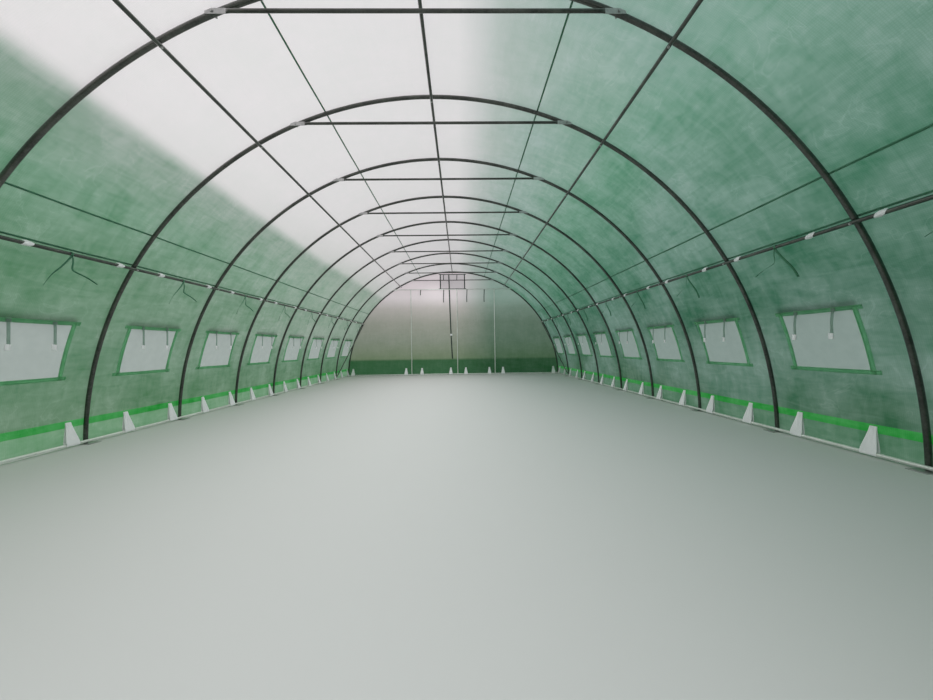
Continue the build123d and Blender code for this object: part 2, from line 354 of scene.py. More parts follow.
def make_zinc():
    group, given, result = new_group(
        "zinc",
        {"Place": "Vector", "Dark": "Color", "Light": "Color"},
        {"Colour": "Color", "Roughness": "Float", "Height": "Float"},
    )
    place = given["Place"]
    spangle = add_node(group, "ShaderNodeTexVoronoi", Vector=place, Scale=95.0)
    stain = noise(group, place, 7.0, 4.0, Roughness=0.6)
    grain = noise(group, place, 420.0, 2.0)
    crystal = product(group, spangle.outputs["Color"], 0.35)
    blotch = remap(group, stain, 0.36, 0.68)
    tone = calculate(group, "ADD", crystal, product(group, blotch, 0.65), clamp=True)
    colour = mix_colours(group, tone, given["Dark"], given["Light"])
    rough = remap(group, tone, 0.0, 1.0, 0.40, 0.27)
    height = total(group, product(group, grain, 0.4), crystal)
    feed_all(group, result, Colour=colour, Roughness=rough, Height=height)
    return group


zinc = make_zinc()


def galvanised(name, dark, light, metal):
    """Zinc between a dark and a light tone; the tube copy is painted darker, as painted shade, and the pale
    copy paler, as painted light.
    """
    material, tree, shader = new_material(name)
    place = add_node(tree, "ShaderNodeTexCoord").outputs["Object"]
    finish = use_group(tree, zinc, Place=place, Dark=lit(dark), Light=lit(light))
    normal = bumps(tree, finish["Height"], 0.25, 0.0004)
    feed_all(tree, shader, Base_Color=finish["Colour"], Roughness=finish["Roughness"], Normal=normal)
    feed_all(tree, shader, Metallic=metal, Coat_Weight=0.5, Coat_Roughness=0.22)
    return material


# The tube copy is darker than zinc, as painted shade for tubes seen against bright film; the pale copy is
# paler, as painted light on rails, sills and door frames.
tube_steel = galvanised("tube_steel", (42, 46, 42), (82, 86, 79), 0.65)
pressed_steel = galvanised("pressed_steel", (132, 134, 132), (182, 184, 182), 0.45)
pale_steel = galvanised("pale_steel", (196, 200, 194), (226, 230, 224), 0.3)
bolt_steel = galvanised("bolt_steel", (120, 122, 120), (186, 188, 186), 0.7)
print("materials", [m.name for m in (tube_steel, pressed_steel, pale_steel, bolt_steel)])

# %% [markdown]
# ## Geometry Nodes for what repeats
#
# A hoop, a screw, a strap: each is one shape in many places. A Geometry Nodes tree makes it
# with named sizes. The helper below runs a tree once and keeps the result as a plain mesh,
# so that the piece stands alone.

# %% Helpers for trees and pieces


def new_tree(name, sizes):
    """A Geometry Nodes tree with a named input for each size."""
    geometry = {"Geometry": "Geometry"}
    return new_group(name, {**geometry, **sizes, "Material": "Material"}, geometry, "GeometryNodeTree")


def finish_tree(tree, given, result, geometry):
    """Ends a tree: instances become real, and the material is set."""
    real = add_node(tree, "GeometryNodeRealizeInstances", Geometry=geometry).outputs["Geometry"]
    coat = add_node(tree, "GeometryNodeSetMaterial", Geometry=real, Material=given["Material"])
    feed_all(tree, result, Geometry=coat.outputs["Geometry"])
    return tree


def sweep(tree, path, section, caps=True):
    """A section swept along a path."""
    made = add_node(tree, "GeometryNodeCurveToMesh", Curve=path, Profile_Curve=section, Fill_Caps=caps)
    return made.outputs["Mesh"]


def round_section(tree, radius, sides):
    """A circle to sweep."""
    made = add_node(tree, "GeometryNodeCurvePrimitiveCircle", {"mode": "RADIUS"}, Resolution=sides)
    return feed_all(tree, made, Radius=radius).outputs["Curve"]


def piece_from_mesh(name, mesh, material=None):
    """A piece of the tunnel from a finished mesh."""
    piece = bpy.data.objects.new(name, mesh)
    scene.collection.objects.link(piece)
    if material is not None:
        mesh.materials.clear()
        mesh.materials.append(material)
        mesh.polygons.foreach_set("material_index", [0] * len(mesh.polygons))
    return piece


def as_evaluated(piece):
    """A new mesh of a piece as its modifiers leave it."""
    graph = bpy.context.evaluated_depsgraph_get()
    return bpy.data.meshes.new_from_object(piece.evaluated_get(graph))


def grow(name, tree, start=None, **sizes):
    """Runs a tree on a starting mesh and keeps what it makes as a plain mesh."""
    source = piece_from_mesh(name + "_start", start or bpy.data.meshes.new(name + "_start"))
    modifier = source.modifiers.new("tree", "NODES")
    modifier.node_group = tree
    for item in tree.interface.items_tree:
        label = item.name.replace(" ", "_").lower()
        if item.in_out == "INPUT" and label in sizes:
            modifier[item.identifier] = sizes[label]
    mesh = as_evaluated(source)
    bpy.data.objects.remove(source)
    mesh.name = name
    return piece_from_mesh(name, mesh, sizes["material"])


def declare(piece, slot, *replaced):
    """Says what a piece rides on and the CAD nodes that it stands for; slot, its finish, is not used."""
    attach(piece, BODY)
    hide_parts(*replaced)
    return piece


@contextmanager
def editing(mesh):
    """Opens a mesh for editing, and puts the result back."""
    builder = bmesh.new()
    builder.from_mesh(mesh)
    yield builder
    builder.to_mesh(mesh)
    builder.free()


def smooth_by_angle(piece, degrees=35):
    """Smooth shading with crisp edges where faces meet at more than an angle."""
    limit = math.radians(degrees)
    with editing(piece.data) as builder:
        for face in builder.faces:
            face.smooth = True
        for edge in builder.edges:
            edge.smooth = len(edge.link_faces) != 2 or edge.calc_face_angle(0) < limit
    return piece


def face_outwards(piece):
    """Turns a closed piece's faces outwards, after its doubles are merged."""
    with editing(piece.data) as builder:
        bmesh.ops.remove_doubles(builder, verts=builder.verts, dist=1e-6)
        bmesh.ops.recalc_face_normals(builder, faces=builder.faces)
    return piece


def paint(piece, material, chosen):
    """Gives the faces that a test chooses another finish, in a slot of their own."""
    piece.data.materials.append(material)
    indices = [int(chosen(face.center)) for face in piece.data.polygons]
    piece.data.polygons.foreach_set("material_index", indices)


def tube_of_rings(name, rings):
    """A closed mesh through rings of points, each with as many points as the others."""
    mesh = bpy.data.meshes.new(name)
    with editing(mesh) as builder:
        grid = [[builder.verts.new(point) for point in ring] for ring in rings]
        for one, two in zip(grid[:-1], grid[1:]):
            for k in range(len(one)):
                m = (k + 1) % len(one)
                builder.faces.new((one[k], one[m], two[m], two[k]))
        builder.faces.new(grid[0])
        builder.faces.new(grid[-1])
        bmesh.ops.recalc_face_normals(builder, faces=builder.faces)
    return mesh


def join(name, parts, material):
    """Pieces joined as one mesh that keeps their flat places, in one material."""
    builder = bmesh.new()
    for part in parts:
        builder.from_mesh(part.data)
    joined = bpy.data.meshes.new(name)
    builder.to_mesh(joined)
    builder.free()
    for part in parts:
        bpy.data.objects.remove(part)
    return piece_from_mesh(name, joined, material)


def make_copies_tree():
    """Puts one shape on every point, turned by the point's own angles."""
    tree, given, result = new_tree("copies", {"Shape": "Object"})
    turn = add_node(tree, "GeometryNodeInputNamedAttribute", {"data_type": "FLOAT_VECTOR"}, Name="turn")
    shape = add_node(tree, "GeometryNodeObjectInfo", {"transform_space": "ORIGINAL"}, Object=given["Shape"])
    turned = add_node(tree, "FunctionNodeEulerToRotation", Euler=turn.outputs["Attribute"])
    placed = add_node(
        tree,
        "GeometryNodeInstanceOnPoints",
        Points=given["Geometry"],
        Instance=shape.outputs["Geometry"],
        Rotation=turned.outputs["Rotation"],
    )
    return finish_tree(tree, given, result, placed.outputs["Instances"])


copies_tree = make_copies_tree()
straight = (0, 0, 0)


def facing(side):
    """A half turn for what sits on the left."""
    return straight if side > 0 else (0, 0, math.pi)


def facing_end(side):
    """Turns a shape made for the right-hand wall to an end wall."""
    return (0, 0, side * math.pi / 2)


def copies(name, shape, places, material):
    """One piece made of a shape at many places, each (x, y, z) and (turn about x, y, z)."""
    points = bpy.data.meshes.new(name + "_points")
    points.from_pydata([place for place, turn in places], [], [])
    turns = points.attributes.new("turn", "FLOAT_VECTOR", "POINT")
    turns.data.foreach_set("vector", [angle for place, turn in places for angle in turn])
    piece = grow(name, copies_tree, start=points, shape=shape, material=material)
    bpy.data.objects.remove(shape)
    return piece


print("copies tree has", len(copies_tree.nodes), "nodes")

# %% [markdown]
# ## The hoops
#
# Each hoop is one length of tube, rolled to a circle. A tree draws the arc, sweeps a round
# section along it and stands it upright. It replaces the CAD hoop, which is drawn with flats
# so that eleven of them stay light.

# %% Roll the hoops


def make_hoop_tree():
    sizes = {"Arc Radius": "Float", "Foot Angle": "Float", "Tube Radius": "Float"}
    counts = {"Steps": "Int", "Sides": "Int"}
    tree, given, result = new_tree("rolled_hoop", {**sizes, **counts, "Place": "Vector"})
    foot = given["Foot Angle"]
    sweep_angle = calculate(tree, "SUBTRACT", math.pi, product(tree, foot, 2.0))
    arc = add_node(tree, "GeometryNodeCurveArc", {"mode": "RADIUS"}, Resolution=given["Steps"])
    feed_all(tree, arc, Radius=given["Arc Radius"], Start_Angle=foot, Sweep_Angle=sweep_angle)
    tube = sweep(tree, arc.outputs["Curve"], round_section(tree, given["Tube Radius"], given["Sides"]))
    upright = add_node(tree, "GeometryNodeTransform", Geometry=tube, Translation=given["Place"])
    feed_all(tree, upright, Rotation=(math.pi / 2, 0, 0))
    return finish_tree(tree, given, result, upright.outputs["Geometry"])


hoop_tree = make_hoop_tree()
foot_gap = 0.0003
foot_angle = math.asin((hoop_low.z + foot_gap - centre_z) / hoop_middle)
for name, y in zip(hoop_names, hoop_places):
    hoop = grow(
        name.replace("hoop", "hoop_tube"),
        hoop_tree,
        arc_radius=hoop_middle,
        foot_angle=foot_angle,
        tube_radius=hoop_tube / 2,
        steps=121,
        sides=20,
        place=(0, y, centre_z),
        material=tube_steel,
    )
    declare(smooth_by_angle(face_outwards(hoop)), "galvanised_tube", name)
print("hoop faces", len(hoop.data.polygons))

# %% [markdown]
# ## Collar ties and door headers
#
# A collar tie is a straight tube whose ends were pressed flat in a die, drilled and bolted to
# the hoop. Between the round and the flat the tube spreads like a spoon's neck. The shape
# follows a rule, so it is built ring by ring: each ring is an oval that grows taller and
# thinner as the press closes on it.

# %% Press the tube ends
tie_radius = 0.011
tie_sides = 28
lap_height = 0.033
lap_thickness = 0.0026
lap_length = 0.108
lap_past_bolt = 0.040
lap_neck = 0.034
lap_face = hoop_tube / 2 + 0.0002
lap_trim = 0.0005  # the lap's top edge stays this far under the hoop's outside
squareness = 0.62  # how far the pressed end goes from an oval towards a box
bright_neck = 0.012  # the part of the neck that is as pale as the lap


def reach_at(radius, height):
    """How far from the middle a circle of the hoops' centre is, at a height."""
    return math.sqrt(radius**2 - (height - centre_z) ** 2)


def oval_ring(x, pressed, height):
    """The points round a cross tube at x, from round at 0 to pressed flat at 1."""
    closed = pressed * pressed * (3 - 2 * pressed)
    tall = tie_radius + (lap_height / 2 - tie_radius) * closed
    thin = tie_radius + (lap_thickness / 2 - tie_radius) * closed
    power = 1 - squareness * closed
    top_z = math.sqrt(hoop_outer**2 - x * x) + centre_z - height - lap_trim
    ring = []
    for turn in np.linspace(0, 2 * math.pi, tie_sides, endpoint=False):
        c, s = math.cos(turn), math.sin(turn)
        z = tall * math.copysign(abs(s) ** power, s)
        ring.append((x, thin * math.copysign(abs(c) ** power, c), min(z, top_z)))
    return ring


def pressed_tube(name, height):
    """A cross tube with pressed ends, lying along X with its middle plane at y = 0."""
    end = reach_at(hoop_middle, height) + lap_past_bolt
    lap_start = end - lap_length
    neck_start = lap_start - lap_neck
    stations = [(x, 0.0) for x in np.linspace(0, neck_start, 9)]
    stations += [(neck_start + lap_neck * t, t) for t in np.linspace(0, 1, 9)[1:]]
    stations += [(x, 1.0) for x in np.linspace(lap_start, end, 12)[1:]]
    stations = [(-x, t) for x, t in reversed(stations[1:])] + stations
    mesh = tube_of_rings(name, [oval_ring(x, pressed, height) for x, pressed in stations])
    return smooth_by_angle(piece_from_mesh(name, mesh), 50)


tie_height = middle("collar_ties", 2)
tie_bolt = reach_at(hoop_middle, tie_height)
tie_side = [1] + [-1] * (len(hoop_places) - 1)  # the first tie is behind its hoop, the others before
tie_offset = lap_face + lap_thickness / 2
tie_places = [(0, y + side * tie_offset, tie_height) for y, side in zip(hoop_places, tie_side)]
one_tie = pressed_tube("one_tie", tie_height)
ties = copies("pressed_collar_ties", one_tie, [(place, straight) for place in tie_places], tube_steel)
pressed_start = tie_bolt + lap_past_bolt - lap_length - bright_neck
paint(ties, pressed_steel, lambda spot: abs(spot.x) > pressed_start)
declare(smooth_by_angle(ties, 50), "galvanised_tube", "collar_ties")
print("collar ties", len(tie_places), "at height", round(tie_height, 3), "faces", len(ties.data.polygons))

# %% [markdown]
# The headers over the two doors are made the same way, only longer. Each carries three round
# posts, which stand on the sill.

# %% Door frames
post_radius = 0.0125
header_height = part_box("door_frame_back")[1].z - lap_height / 2
sill_top = middle("end_sills", 2) + across("end_sills", 2) / 2
frame_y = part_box("end_sills")[1].y - post_radius
post_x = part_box("door_film_back")[1].x
middle_post_x = 0.12


def make_post_tree():
    """A straight tube between two heights on every point."""
    tree, given, result = new_tree("posts", {"Height": "Float", "Tube Radius": "Float"})
    tip = add_node(tree, "ShaderNodeCombineXYZ", Z=given["Height"])
    run = add_node(tree, "GeometryNodeCurvePrimitiveLine", End=tip.outputs["Vector"])
    tube = sweep(tree, run.outputs["Curve"], round_section(tree, given["Tube Radius"], 20))
    placed = add_node(tree, "GeometryNodeInstanceOnPoints", Points=given["Geometry"], Instance=tube)
    return finish_tree(tree, given, result, placed.outputs["Instances"])


post_tree = make_post_tree()
for side, end in ENDS:
    feet = bpy.data.meshes.new(f"feet_{end}")
    post_places = (-post_x, side * middle_post_x, post_x)
    feet.from_pydata([(x, side * frame_y, sill_top + foot_gap) for x in post_places], [], [])
    posts = grow(
        f"posts_{end}",
        post_tree,
        start=feet,
        height=header_height - tie_radius - sill_top - 2 * foot_gap,
        tube_radius=post_radius,
        material=pale_steel,
    )
    smooth_by_angle(face_outwards(posts))
    one_header = pressed_tube(f"one_header_{end}", header_height)
    header_place = (0, side * frame_y, header_height)
    header = copies(f"header_{end}", one_header, [(header_place, straight)], pale_steel)
    smooth_by_angle(header, 50)
    door_frame = join(f"door_frame_tubes_{end}", [posts, header], pale_steel)
    declare(door_frame, "galvanised_tube", f"door_frame_{end}")
print("header at", round(header_height, 3), "posts at", round(post_x, 3))

# %% [markdown]
# ## The tubes that stay as the CAD made them
#
# Purlins, rails, sills, braces and foot plates have the right shape already. They only need
# the finish.

# %% Finish the CAD tubes
kept_finishes = {
    "purlin": tube_steel,
    "braces": tube_steel,
    "base_rail": pale_steel,
    "end_sills": pale_steel,
    "foot_plates": pressed_steel,
}
for name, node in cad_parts.items():
    for part, finish in kept_finishes.items():
        if part in name:
            node.data.materials.clear()
            node.data.materials.append(finish)
print("purlins", [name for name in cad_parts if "purlin" in name])

# %% [markdown]
# ## The film's finish
#
# The cover is polyethylene tape, woven and then sealed between two clear skins. Green threads
# make a fine square scrim in it, and handling leaves thin creases. Light comes through, so the
# camera sees a mix of a glossy Principled skin and a Translucent part that lets the glow
# through, and other rays meet a plain Translucent film, which keeps the inside softly lit.
# The thin band of the skirt is partly clear as well. The film looks nearly white where it has
# the sky behind it, on the left of the crown, and green where it stands against darker
# ground; that light is painted into its colour, which follows the angle.

# %% The scrim effect


def make_scrim():
    group, given, result = new_group(
        "scrim",
        {"Flat Place": "Vector", "Thread Gap": "Float", "Crumple": "Float"},
        {"Threads": "Float", "Mottle": "Float", "Height": "Float"},
    )
    place = given["Flat Place"]
    parts = parts_of(group, place)
    stripes = []
    for axis in ("X", "Y"):
        count = calculate(group, "DIVIDE", parts[axis], given["Thread Gap"])
        from_thread = distance_between(group, calculate(group, "FRACT", count), 0.5)
        stripes.append(remap(group, from_thread, 0.08, 0.22, 1.0, 0.0))
    threads = calculate(group, "MAXIMUM", *stripes)
    streaks = []
    for stretch in ((17.0, 4.0, 1.0), (4.0, 13.0, 1.0)):
        stretched = vectors(group, "MULTIPLY", place, stretch)
        streaks.append(noise(group, stretched, 1.0, 4.0, Distortion=0.9))
    cloud = noise(group, place, 2.4, 5.0, Roughness=0.62)
    weave_tone = product(group, total(group, *streaks), 0.5)
    soft = total(group, product(group, weave_tone, 0.5), product(group, cloud, 0.5))
    from_fold = distance_between(group, noise(group, place, 4.6, 2.5, Distortion=0.9), 0.5)
    line = remap(group, from_fold, 0.0, 0.016, 1.0, 0.0)
    crease = product(group, line, remap(group, cloud, 0.44, 0.58))
    swell = noise(group, place, 9.0, 4.0, Roughness=0.55)
    crumple = product(group, total(group, product(group, crease, 0.35), swell), given["Crumple"])
    # The crease lines are painted a little paler here: a painted highlight along each crease.
    mottle_and_highlight = total(group, soft, product(group, crease, 0.08))
    height = total(group, crumple, product(group, threads, 0.05))
    feed_all(group, result, Threads=threads, Mottle=mottle_and_highlight, Height=height)
    return group


scrim = make_scrim()
print("scrim group has", len(scrim.nodes), "nodes")

# %% [markdown]
# One function makes every film finish. What differs is the colour, which is worked out from
# the place on the film: round the arch for the roof and walls, by height on the end walls.

# %% The film materials
thread_gap = 0.010
film_glow = 0.62  # the share of light that comes through, as the camera sees it
deep_tint = (0.60, 0.82, 0.68, 1)
pale_tint = (0.80, 0.90, 0.85, 1)
thread_tint = (0.45, 0.72, 0.55, 1)


def film_finish(name, colour_of_place, crumple=0.5, clear=0.0, streaky=1.0):
    """A film material; colour_of_place turns a tree and the place on the object into a colour."""
    material, tree, shader = new_material(name)
    coordinates = add_node(tree, "ShaderNodeTexCoord").outputs
    effect = use_group(tree, scrim, Flat_Place=coordinates["UV"], Thread_Gap=thread_gap, Crumple=crumple)
    tint = colour_of_place(tree, coordinates["Object"])
    bright = add_node(tree, "ShaderNodeRGBToBW", Color=tint).outputs["Val"]
    shown = remap(tree, bright, 0.34, 0.70, streaky, 0.10)
    deep = mix_colours(tree, 1.0, tint, deep_tint, "MULTIPLY")
    pale = mix_colours(tree, 0.15, tint, pale_tint)
    streaks_and_highlights = mix_colours(tree, remap(tree, effect["Mottle"], 0.36, 0.64), deep, pale)
    mottled_and_highlit = mix_colours(tree, shown, tint, streaks_and_highlights)
    share = product(tree, effect["Threads"], remap(tree, shown, 0.0, 1.0, 0.04, 0.22))
    thread = mix_colours(tree, 1.0, mottled_and_highlit, thread_tint, "MULTIPLY")
    colour = mix_colours(tree, share, mottled_and_highlit, thread)
    normal = bumps(tree, effect["Height"], 0.55, 0.004)
    shown_skin = glowing(tree, shader, film_glow, colour, normal, Roughness=0.38, Specular_IOR_Level=0.5)
    bounced = add_node(tree, "ShaderNodeBsdfTranslucent", Color=tint).outputs["BSDF"]
    from_camera = add_node(tree, "ShaderNodeLightPath").outputs["Is Camera Ray"]
    show_shader(tree, mix_shaders(tree, from_camera, bounced, shown_skin), clear)
    return material


film_gain = 1.15
# end_gain is above film_gain to paint in light, as less of it falls on the upright end walls than on the
# arch.
end_gain = 1.55
quarter_turn = math.pi / 2
# The film's colour round the arch holds painted sky light: nearly white where sky is behind it, green
# against darker ground.
arch_stops = [  # degrees from the crown, and the film's colour there
    (-90, (101, 134, 101)),
    (-76, (102, 136, 109)),
    (-64, (78, 126, 91)),
    (-52, (112, 147, 125)),
    (-42.8, (151, 159, 153)),
    (-40.5, (221, 214, 216)),
    (4, (217, 211, 213)),
    (11, (180, 183, 182)),
    (20, (154, 170, 165)),
    (34, (110, 150, 133)),
    (50, (71, 124, 103)),
    (66, (54, 105, 85)),
    (90, (53, 99, 66)),
]
# The end walls' colours hold painted sky light: paler towards the top, where sky is behind the film.
wall_stops = [  # height above the ground, and the end walls' colour there
    (0.10, (40, 84, 50)),
    (0.42, (40, 82, 48)),
    (0.48, (103, 115, 91)),
    (1.0, (124, 127, 116)),
    (1.5, (138, 135, 128)),
    (1.9, (163, 155, 153)),
    (2.2, (192, 182, 185)),
    (2.6, (198, 186, 190)),
]
wall_ramp_top = 3.0


def arch_colour(tree, place):
    """The film's colour round the arch, with painted sky light: paler far off on the left, and in patches on
    the right.
    """
    parts = parts_of(tree, place)
    x, y = parts["X"], parts["Y"]
    angle = calculate(tree, "ARCTAN2", x, calculate(tree, "SUBTRACT", parts["Z"], centre_z))
    steepness = calculate(tree, "ABSOLUTE", angle)
    on_left = remap(tree, x, -0.4, 0.4, 1.0, 0.0)
    slant = product(tree, remap(tree, y, -4.0, 0.5, 0.045, 0.0), on_left)
    share = remap(tree, calculate(tree, "SUBTRACT", angle, slant), -quarter_turn, quarter_turn)
    stops = [((degrees + 90) / 180, lit(colour, film_gain)) for degrees, colour in arch_stops]
    film = ramp(tree, share, stops)

    green_side = remap(tree, steepness, 0.55, 0.80)
    above_foot = remap(tree, steepness, 1.22, 1.40, 1.0, 0.0)
    far_left = product(tree, remap(tree, y, -3.2, 1.8, 0.0, 0.74), on_left)
    # Painted light: far off on the left, the side film is mixed towards a pale grey.
    painted_pale_left = product(tree, far_left, above_foot, green_side)
    with_painted_pale = mix_colours(tree, painted_pale_left, film, lit((180, 186, 178)))

    # Painted light in patches on the right, and in a band near the front.
    patches = remap(tree, noise(tree, place, 0.75, 1.5, Distortion=0.3), 0.46, 0.62, 0.0, 0.42)
    above_wall = remap(tree, angle, 0.82, 0.92, 1.0, 0.0)
    past_haunch = remap(tree, angle, 0.52, 0.68)
    near_band = product(tree, above_wall, past_haunch, remap(tree, y, -4.3, -1.9, 0.55, 0.0))
    patched = calculate(tree, "MAXIMUM", patches, near_band)
    painted_pale_right = product(tree, patched, remap(tree, x, 0.2, 1.2))
    with_painted_pale = mix_colours(tree, painted_pale_right, with_painted_pale, lit((156, 176, 174)))

    # Painted light and shade: the side film is brighter towards the front end and darker towards the far
    # end.
    lit_near_shaded_far = mix_colours(tree, 1.0, with_painted_pale, remap(tree, y, -3.2, 4.5, 1.11, 0.86), "MULTIPLY")
    return mix_colours(tree, green_side, lit_near_shaded_far, with_painted_pale)


def end_colour(tree, place):
    """The end walls' colour by height, with painted sky light, and darker to the right of the middle as
    painted shade.
    """
    parts = parts_of(tree, place)
    stops = [(z / wall_ramp_top, lit(colour, end_gain)) for z, colour in wall_stops]
    wall = ramp(tree, remap(tree, parts["Z"], 0.0, wall_ramp_top), stops)
    side = remap(tree, parts["X"], 0.15, 1.1)
    return mix_colours(tree, side, wall, (0.42, 0.62, 0.53, 1), "MULTIPLY")


def plain_colour(*colour):
    """A film colour that is the same at every place."""
    return lambda tree, place: lit(colour, film_gain)


arch_film = film_finish("arch_film", arch_colour)
end_film = film_finish("end_film", end_colour, crumple=0.35, streaky=0.3)
print("film materials", arch_film.name, end_film.name)

# %% [markdown]
# ## The film's shape
#
# Film is tight over a hoop and hangs a little slack between two hoops, with soft creases
# where it was folded. The shape below is a rule, so that everything sewn on the film can use
# it too: the seams, the window nets and their hems.

# %% How the film hangs
sag = 0.007
crease_depth = 0.0035
crease_count = 30
draws = np.random.default_rng(11)
crease_lengths = draws.uniform(0.10, 0.75, crease_count)
crease_directions = draws.uniform(0, math.pi, crease_count)
crease_phases = draws.uniform(0, 2 * math.pi, crease_count)
crease_shares = crease_lengths / crease_lengths.sum()
crease_waves = list(zip(crease_lengths, crease_directions, crease_phases, crease_shares))


def creases(u, v):
    """Soft creases of many lengths and directions, about -1 to 1."""
    height = 0.0
    for length, direction, phase, share in crease_waves:
        run = u * math.cos(direction) + v * math.sin(direction)
        height = height + share * np.sin(2 * math.pi / length * run + phase)
    return 3 * height


def film_point(angle, y, lift):
    """A point on the film: the angle is from the crown, positive to the right."""
    between = np.sin(math.pi * (y - hoop_places[0]) / bay) ** 2
    inward = between * (sag + crease_depth * creases(angle * film_radius, y))
    radius = film_radius - inward + lift
    return np.stack([radius * np.sin(angle), y + 0 * angle, radius * np.cos(angle) + centre_z], axis=-1)


def angle_at(height, radius=film_radius):
    """The angle from the crown at which an arch passes a height."""
    return math.acos((height - centre_z) / radius)


def grid_lines(stops, step):
    """Grid lines on every stop and about a step apart between them."""
    found = [stops[0]]
    for start, end in zip(stops[:-1], stops[1:]):
        count = max(1, round(abs(end - start) / step))
        found += list(np.linspace(start, end, count + 1)[1:])
    return np.array(found)


def cell_middles(first, second):
    """The middles of a grid's cells, from its lines in both directions."""
    return np.meshgrid((first[:-1] + first[1:]) / 2, (second[:-1] + second[1:]) / 2, indexing="ij")


def outside_holes(first, second, holes):
    """Which cells lie outside every hole, each given as low and high in both directions."""
    keep = np.ones(first.shape, bool)
    for low_first, high_first, low_second, high_second in holes:
        inside = (first > low_first) & (first < high_first) & (second > low_second) & (second < high_second)
        keep &= ~inside
    return keep


def surface(name, points, flat, material, keep=None):
    """A sheet from a grid of points, with its flat places in metres as its UV map."""
    rows, columns = points.shape[:2]
    index = np.arange(rows * columns).reshape(rows, columns)
    quads = np.stack([index[:-1, :-1], index[1:, :-1], index[1:, 1:], index[:-1, 1:]], axis=-1)
    quads = quads[keep] if keep is not None else quads.reshape(-1, 4)
    used, quads = np.unique(quads, return_inverse=True)
    quads = quads.reshape(-1, 4)
    mesh = bpy.data.meshes.new(name)
    mesh.from_pydata(points.reshape(-1, 3)[used].tolist(), [], quads.tolist())
    layer = mesh.uv_layers.new(name="flat")
    layer.data.foreach_set("uv", flat.reshape(-1, 2)[used][quads.ravel()].ravel())
    mesh.polygons.foreach_set("use_smooth", [True] * len(mesh.polygons))
    return piece_from_mesh(name, mesh, material)


def film_strip(name, angles, places, material, lift=0.0, holes=()):
    """A strip of film round part of the arch; a hole is two angles and two places along Y."""
    a, y = np.meshgrid(angles, places, indexing="ij")
    keep = outside_holes(*cell_middles(angles, places), holes)
    return surface(name, film_point(a, y, lift), np.stack([a * film_radius, y], -1), material, keep)


def on_side(side, angles):
    """Angles made for the right, moved to a side and still rising."""
    return angles if side > 0 else -angles[::-1]


seam_inner = math.asin(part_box("roof_film_centre")[1].x / film_radius)
seam_outer = math.asin(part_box("roof_film_right")[1].x / film_radius)
wall_low_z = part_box("wall_film_right")[0].z
wall_bottom = angle_at(wall_low_z)
net_low, net_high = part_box("window_nets_right")
window_half = net_high.y - bay_middles[-1]
window_low = angle_at(net_low.z)
window_high = angle_at(net_high.z)
print("seams", round(math.degrees(seam_inner), 1), round(math.degrees(seam_outer), 1))

# %% [markdown]
# ## Hang the film
#
# Three strips cover the roof and one each wall, with a hole for every window.

# %% Roof and wall film
film_step = 0.028
roof_places = grid_lines([-cover_end, cover_end], film_step)
window_edges = [edge for place in bay_middles for edge in (place - window_half, place + window_half)]
wall_places = grid_lines([-cover_end, *window_edges, cover_end], film_step)
step_angle = film_step / film_radius
strips = {
    "roof_film_left": (-seam_outer, -seam_inner),
    "roof_film_centre": (-seam_inner, seam_inner),
    "roof_film_right": (seam_inner, seam_outer),
}
for name, (start, end) in strips.items():
    sheet = film_strip(f"{name}_sheet", grid_lines([start, end], step_angle), roof_places, arch_film)
    declare(sheet, "green_film", name)
for side, label in SIDES:
    angles = on_side(side, grid_lines([seam_outer, window_high, window_low, wall_bottom], step_angle))
    low, high = sorted((side * window_high, side * window_low))
    holes = [(low, high, y - window_half, y + window_half) for y in bay_middles]
    sheet = film_strip(f"wall_film_{label}_sheet", angles, wall_places, arch_film, holes=holes)
    declare(sheet, "green_film", f"wall_film_{label}")

# %% [markdown]
# A skirt overlaps the lower edge of each wall film on the outside. Both have a bright green
# edge band where they overlap, so a clear green stripe runs above a paler one.

# %% Skirts with their green edge band
skirt_gap = 0.0033
skirt_radius = film_radius + skirt_gap
skirt_low, skirt_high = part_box("skirt_right")
skirt_top = angle_at(skirt_high.z, skirt_radius)
skirt_bottom = angle_at(skirt_low.z, skirt_radius)


def skirt_colour(tree, place):
    """The skirts' colour, darker on the right, where less light comes through."""
    side = remap(tree, parts_of(tree, place)["X"], -1.0, 1.0)
    return mix_colours(tree, side, lit((128, 166, 132), film_gain), lit((90, 130, 104), film_gain))


skirt_film = film_finish("skirt_film", skirt_colour, crumple=0.4)
band_film = film_finish("band_film", plain_colour(40, 158, 66), crumple=0.2)
thin_band = film_finish("thin_band", plain_colour(120, 214, 140), crumple=0.2, clear=0.45)


def in_band(spot):
    """Whether a place is where a skirt and a wall film overlap."""
    return wall_low_z < spot.z < skirt_high.z


for side, label in SIDES:
    angles = on_side(side, grid_lines([skirt_top, wall_bottom, skirt_bottom], step_angle / 2))
    lift = skirt_radius - film_radius
    sheet = film_strip(f"skirt_{label}_sheet", angles, roof_places, skirt_film, lift=lift)
    wall = bpy.data.objects[f"wall_film_{label}_sheet"]
    paint(sheet, thin_band, in_band)
    paint(wall, band_film, in_band)
    declare(sheet, "green_film", f"skirt_{label}")

# %% [markdown]
# ## The end walls
#
# An end wall is cut to the arch, with a doorway and a vent window. Its grid is square, and
# the rows that would pass the arch are folded down onto it, so the edge is a clean curve.

# %% Cut the end films
end_film_y = cover_end - 0.0015
ground_gap = 0.004
vent_low, vent_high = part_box("vent_nets")
door_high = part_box("door_film_back")[1].z
end_step = 0.04
belly_in, belly_out = -0.012, 0.004  # how far an end film may leave its plane
arch_hold = 0.25  # an end film is held tight within this distance of the arch
side_hold = 0.15  # and within this distance of an upright edge


def ripple(x, z):
    """How far an end film bellies, out of its plane."""
    return 0.004 * creases(x, z) + 0.002 * np.sin(9 * x + 2 * z)


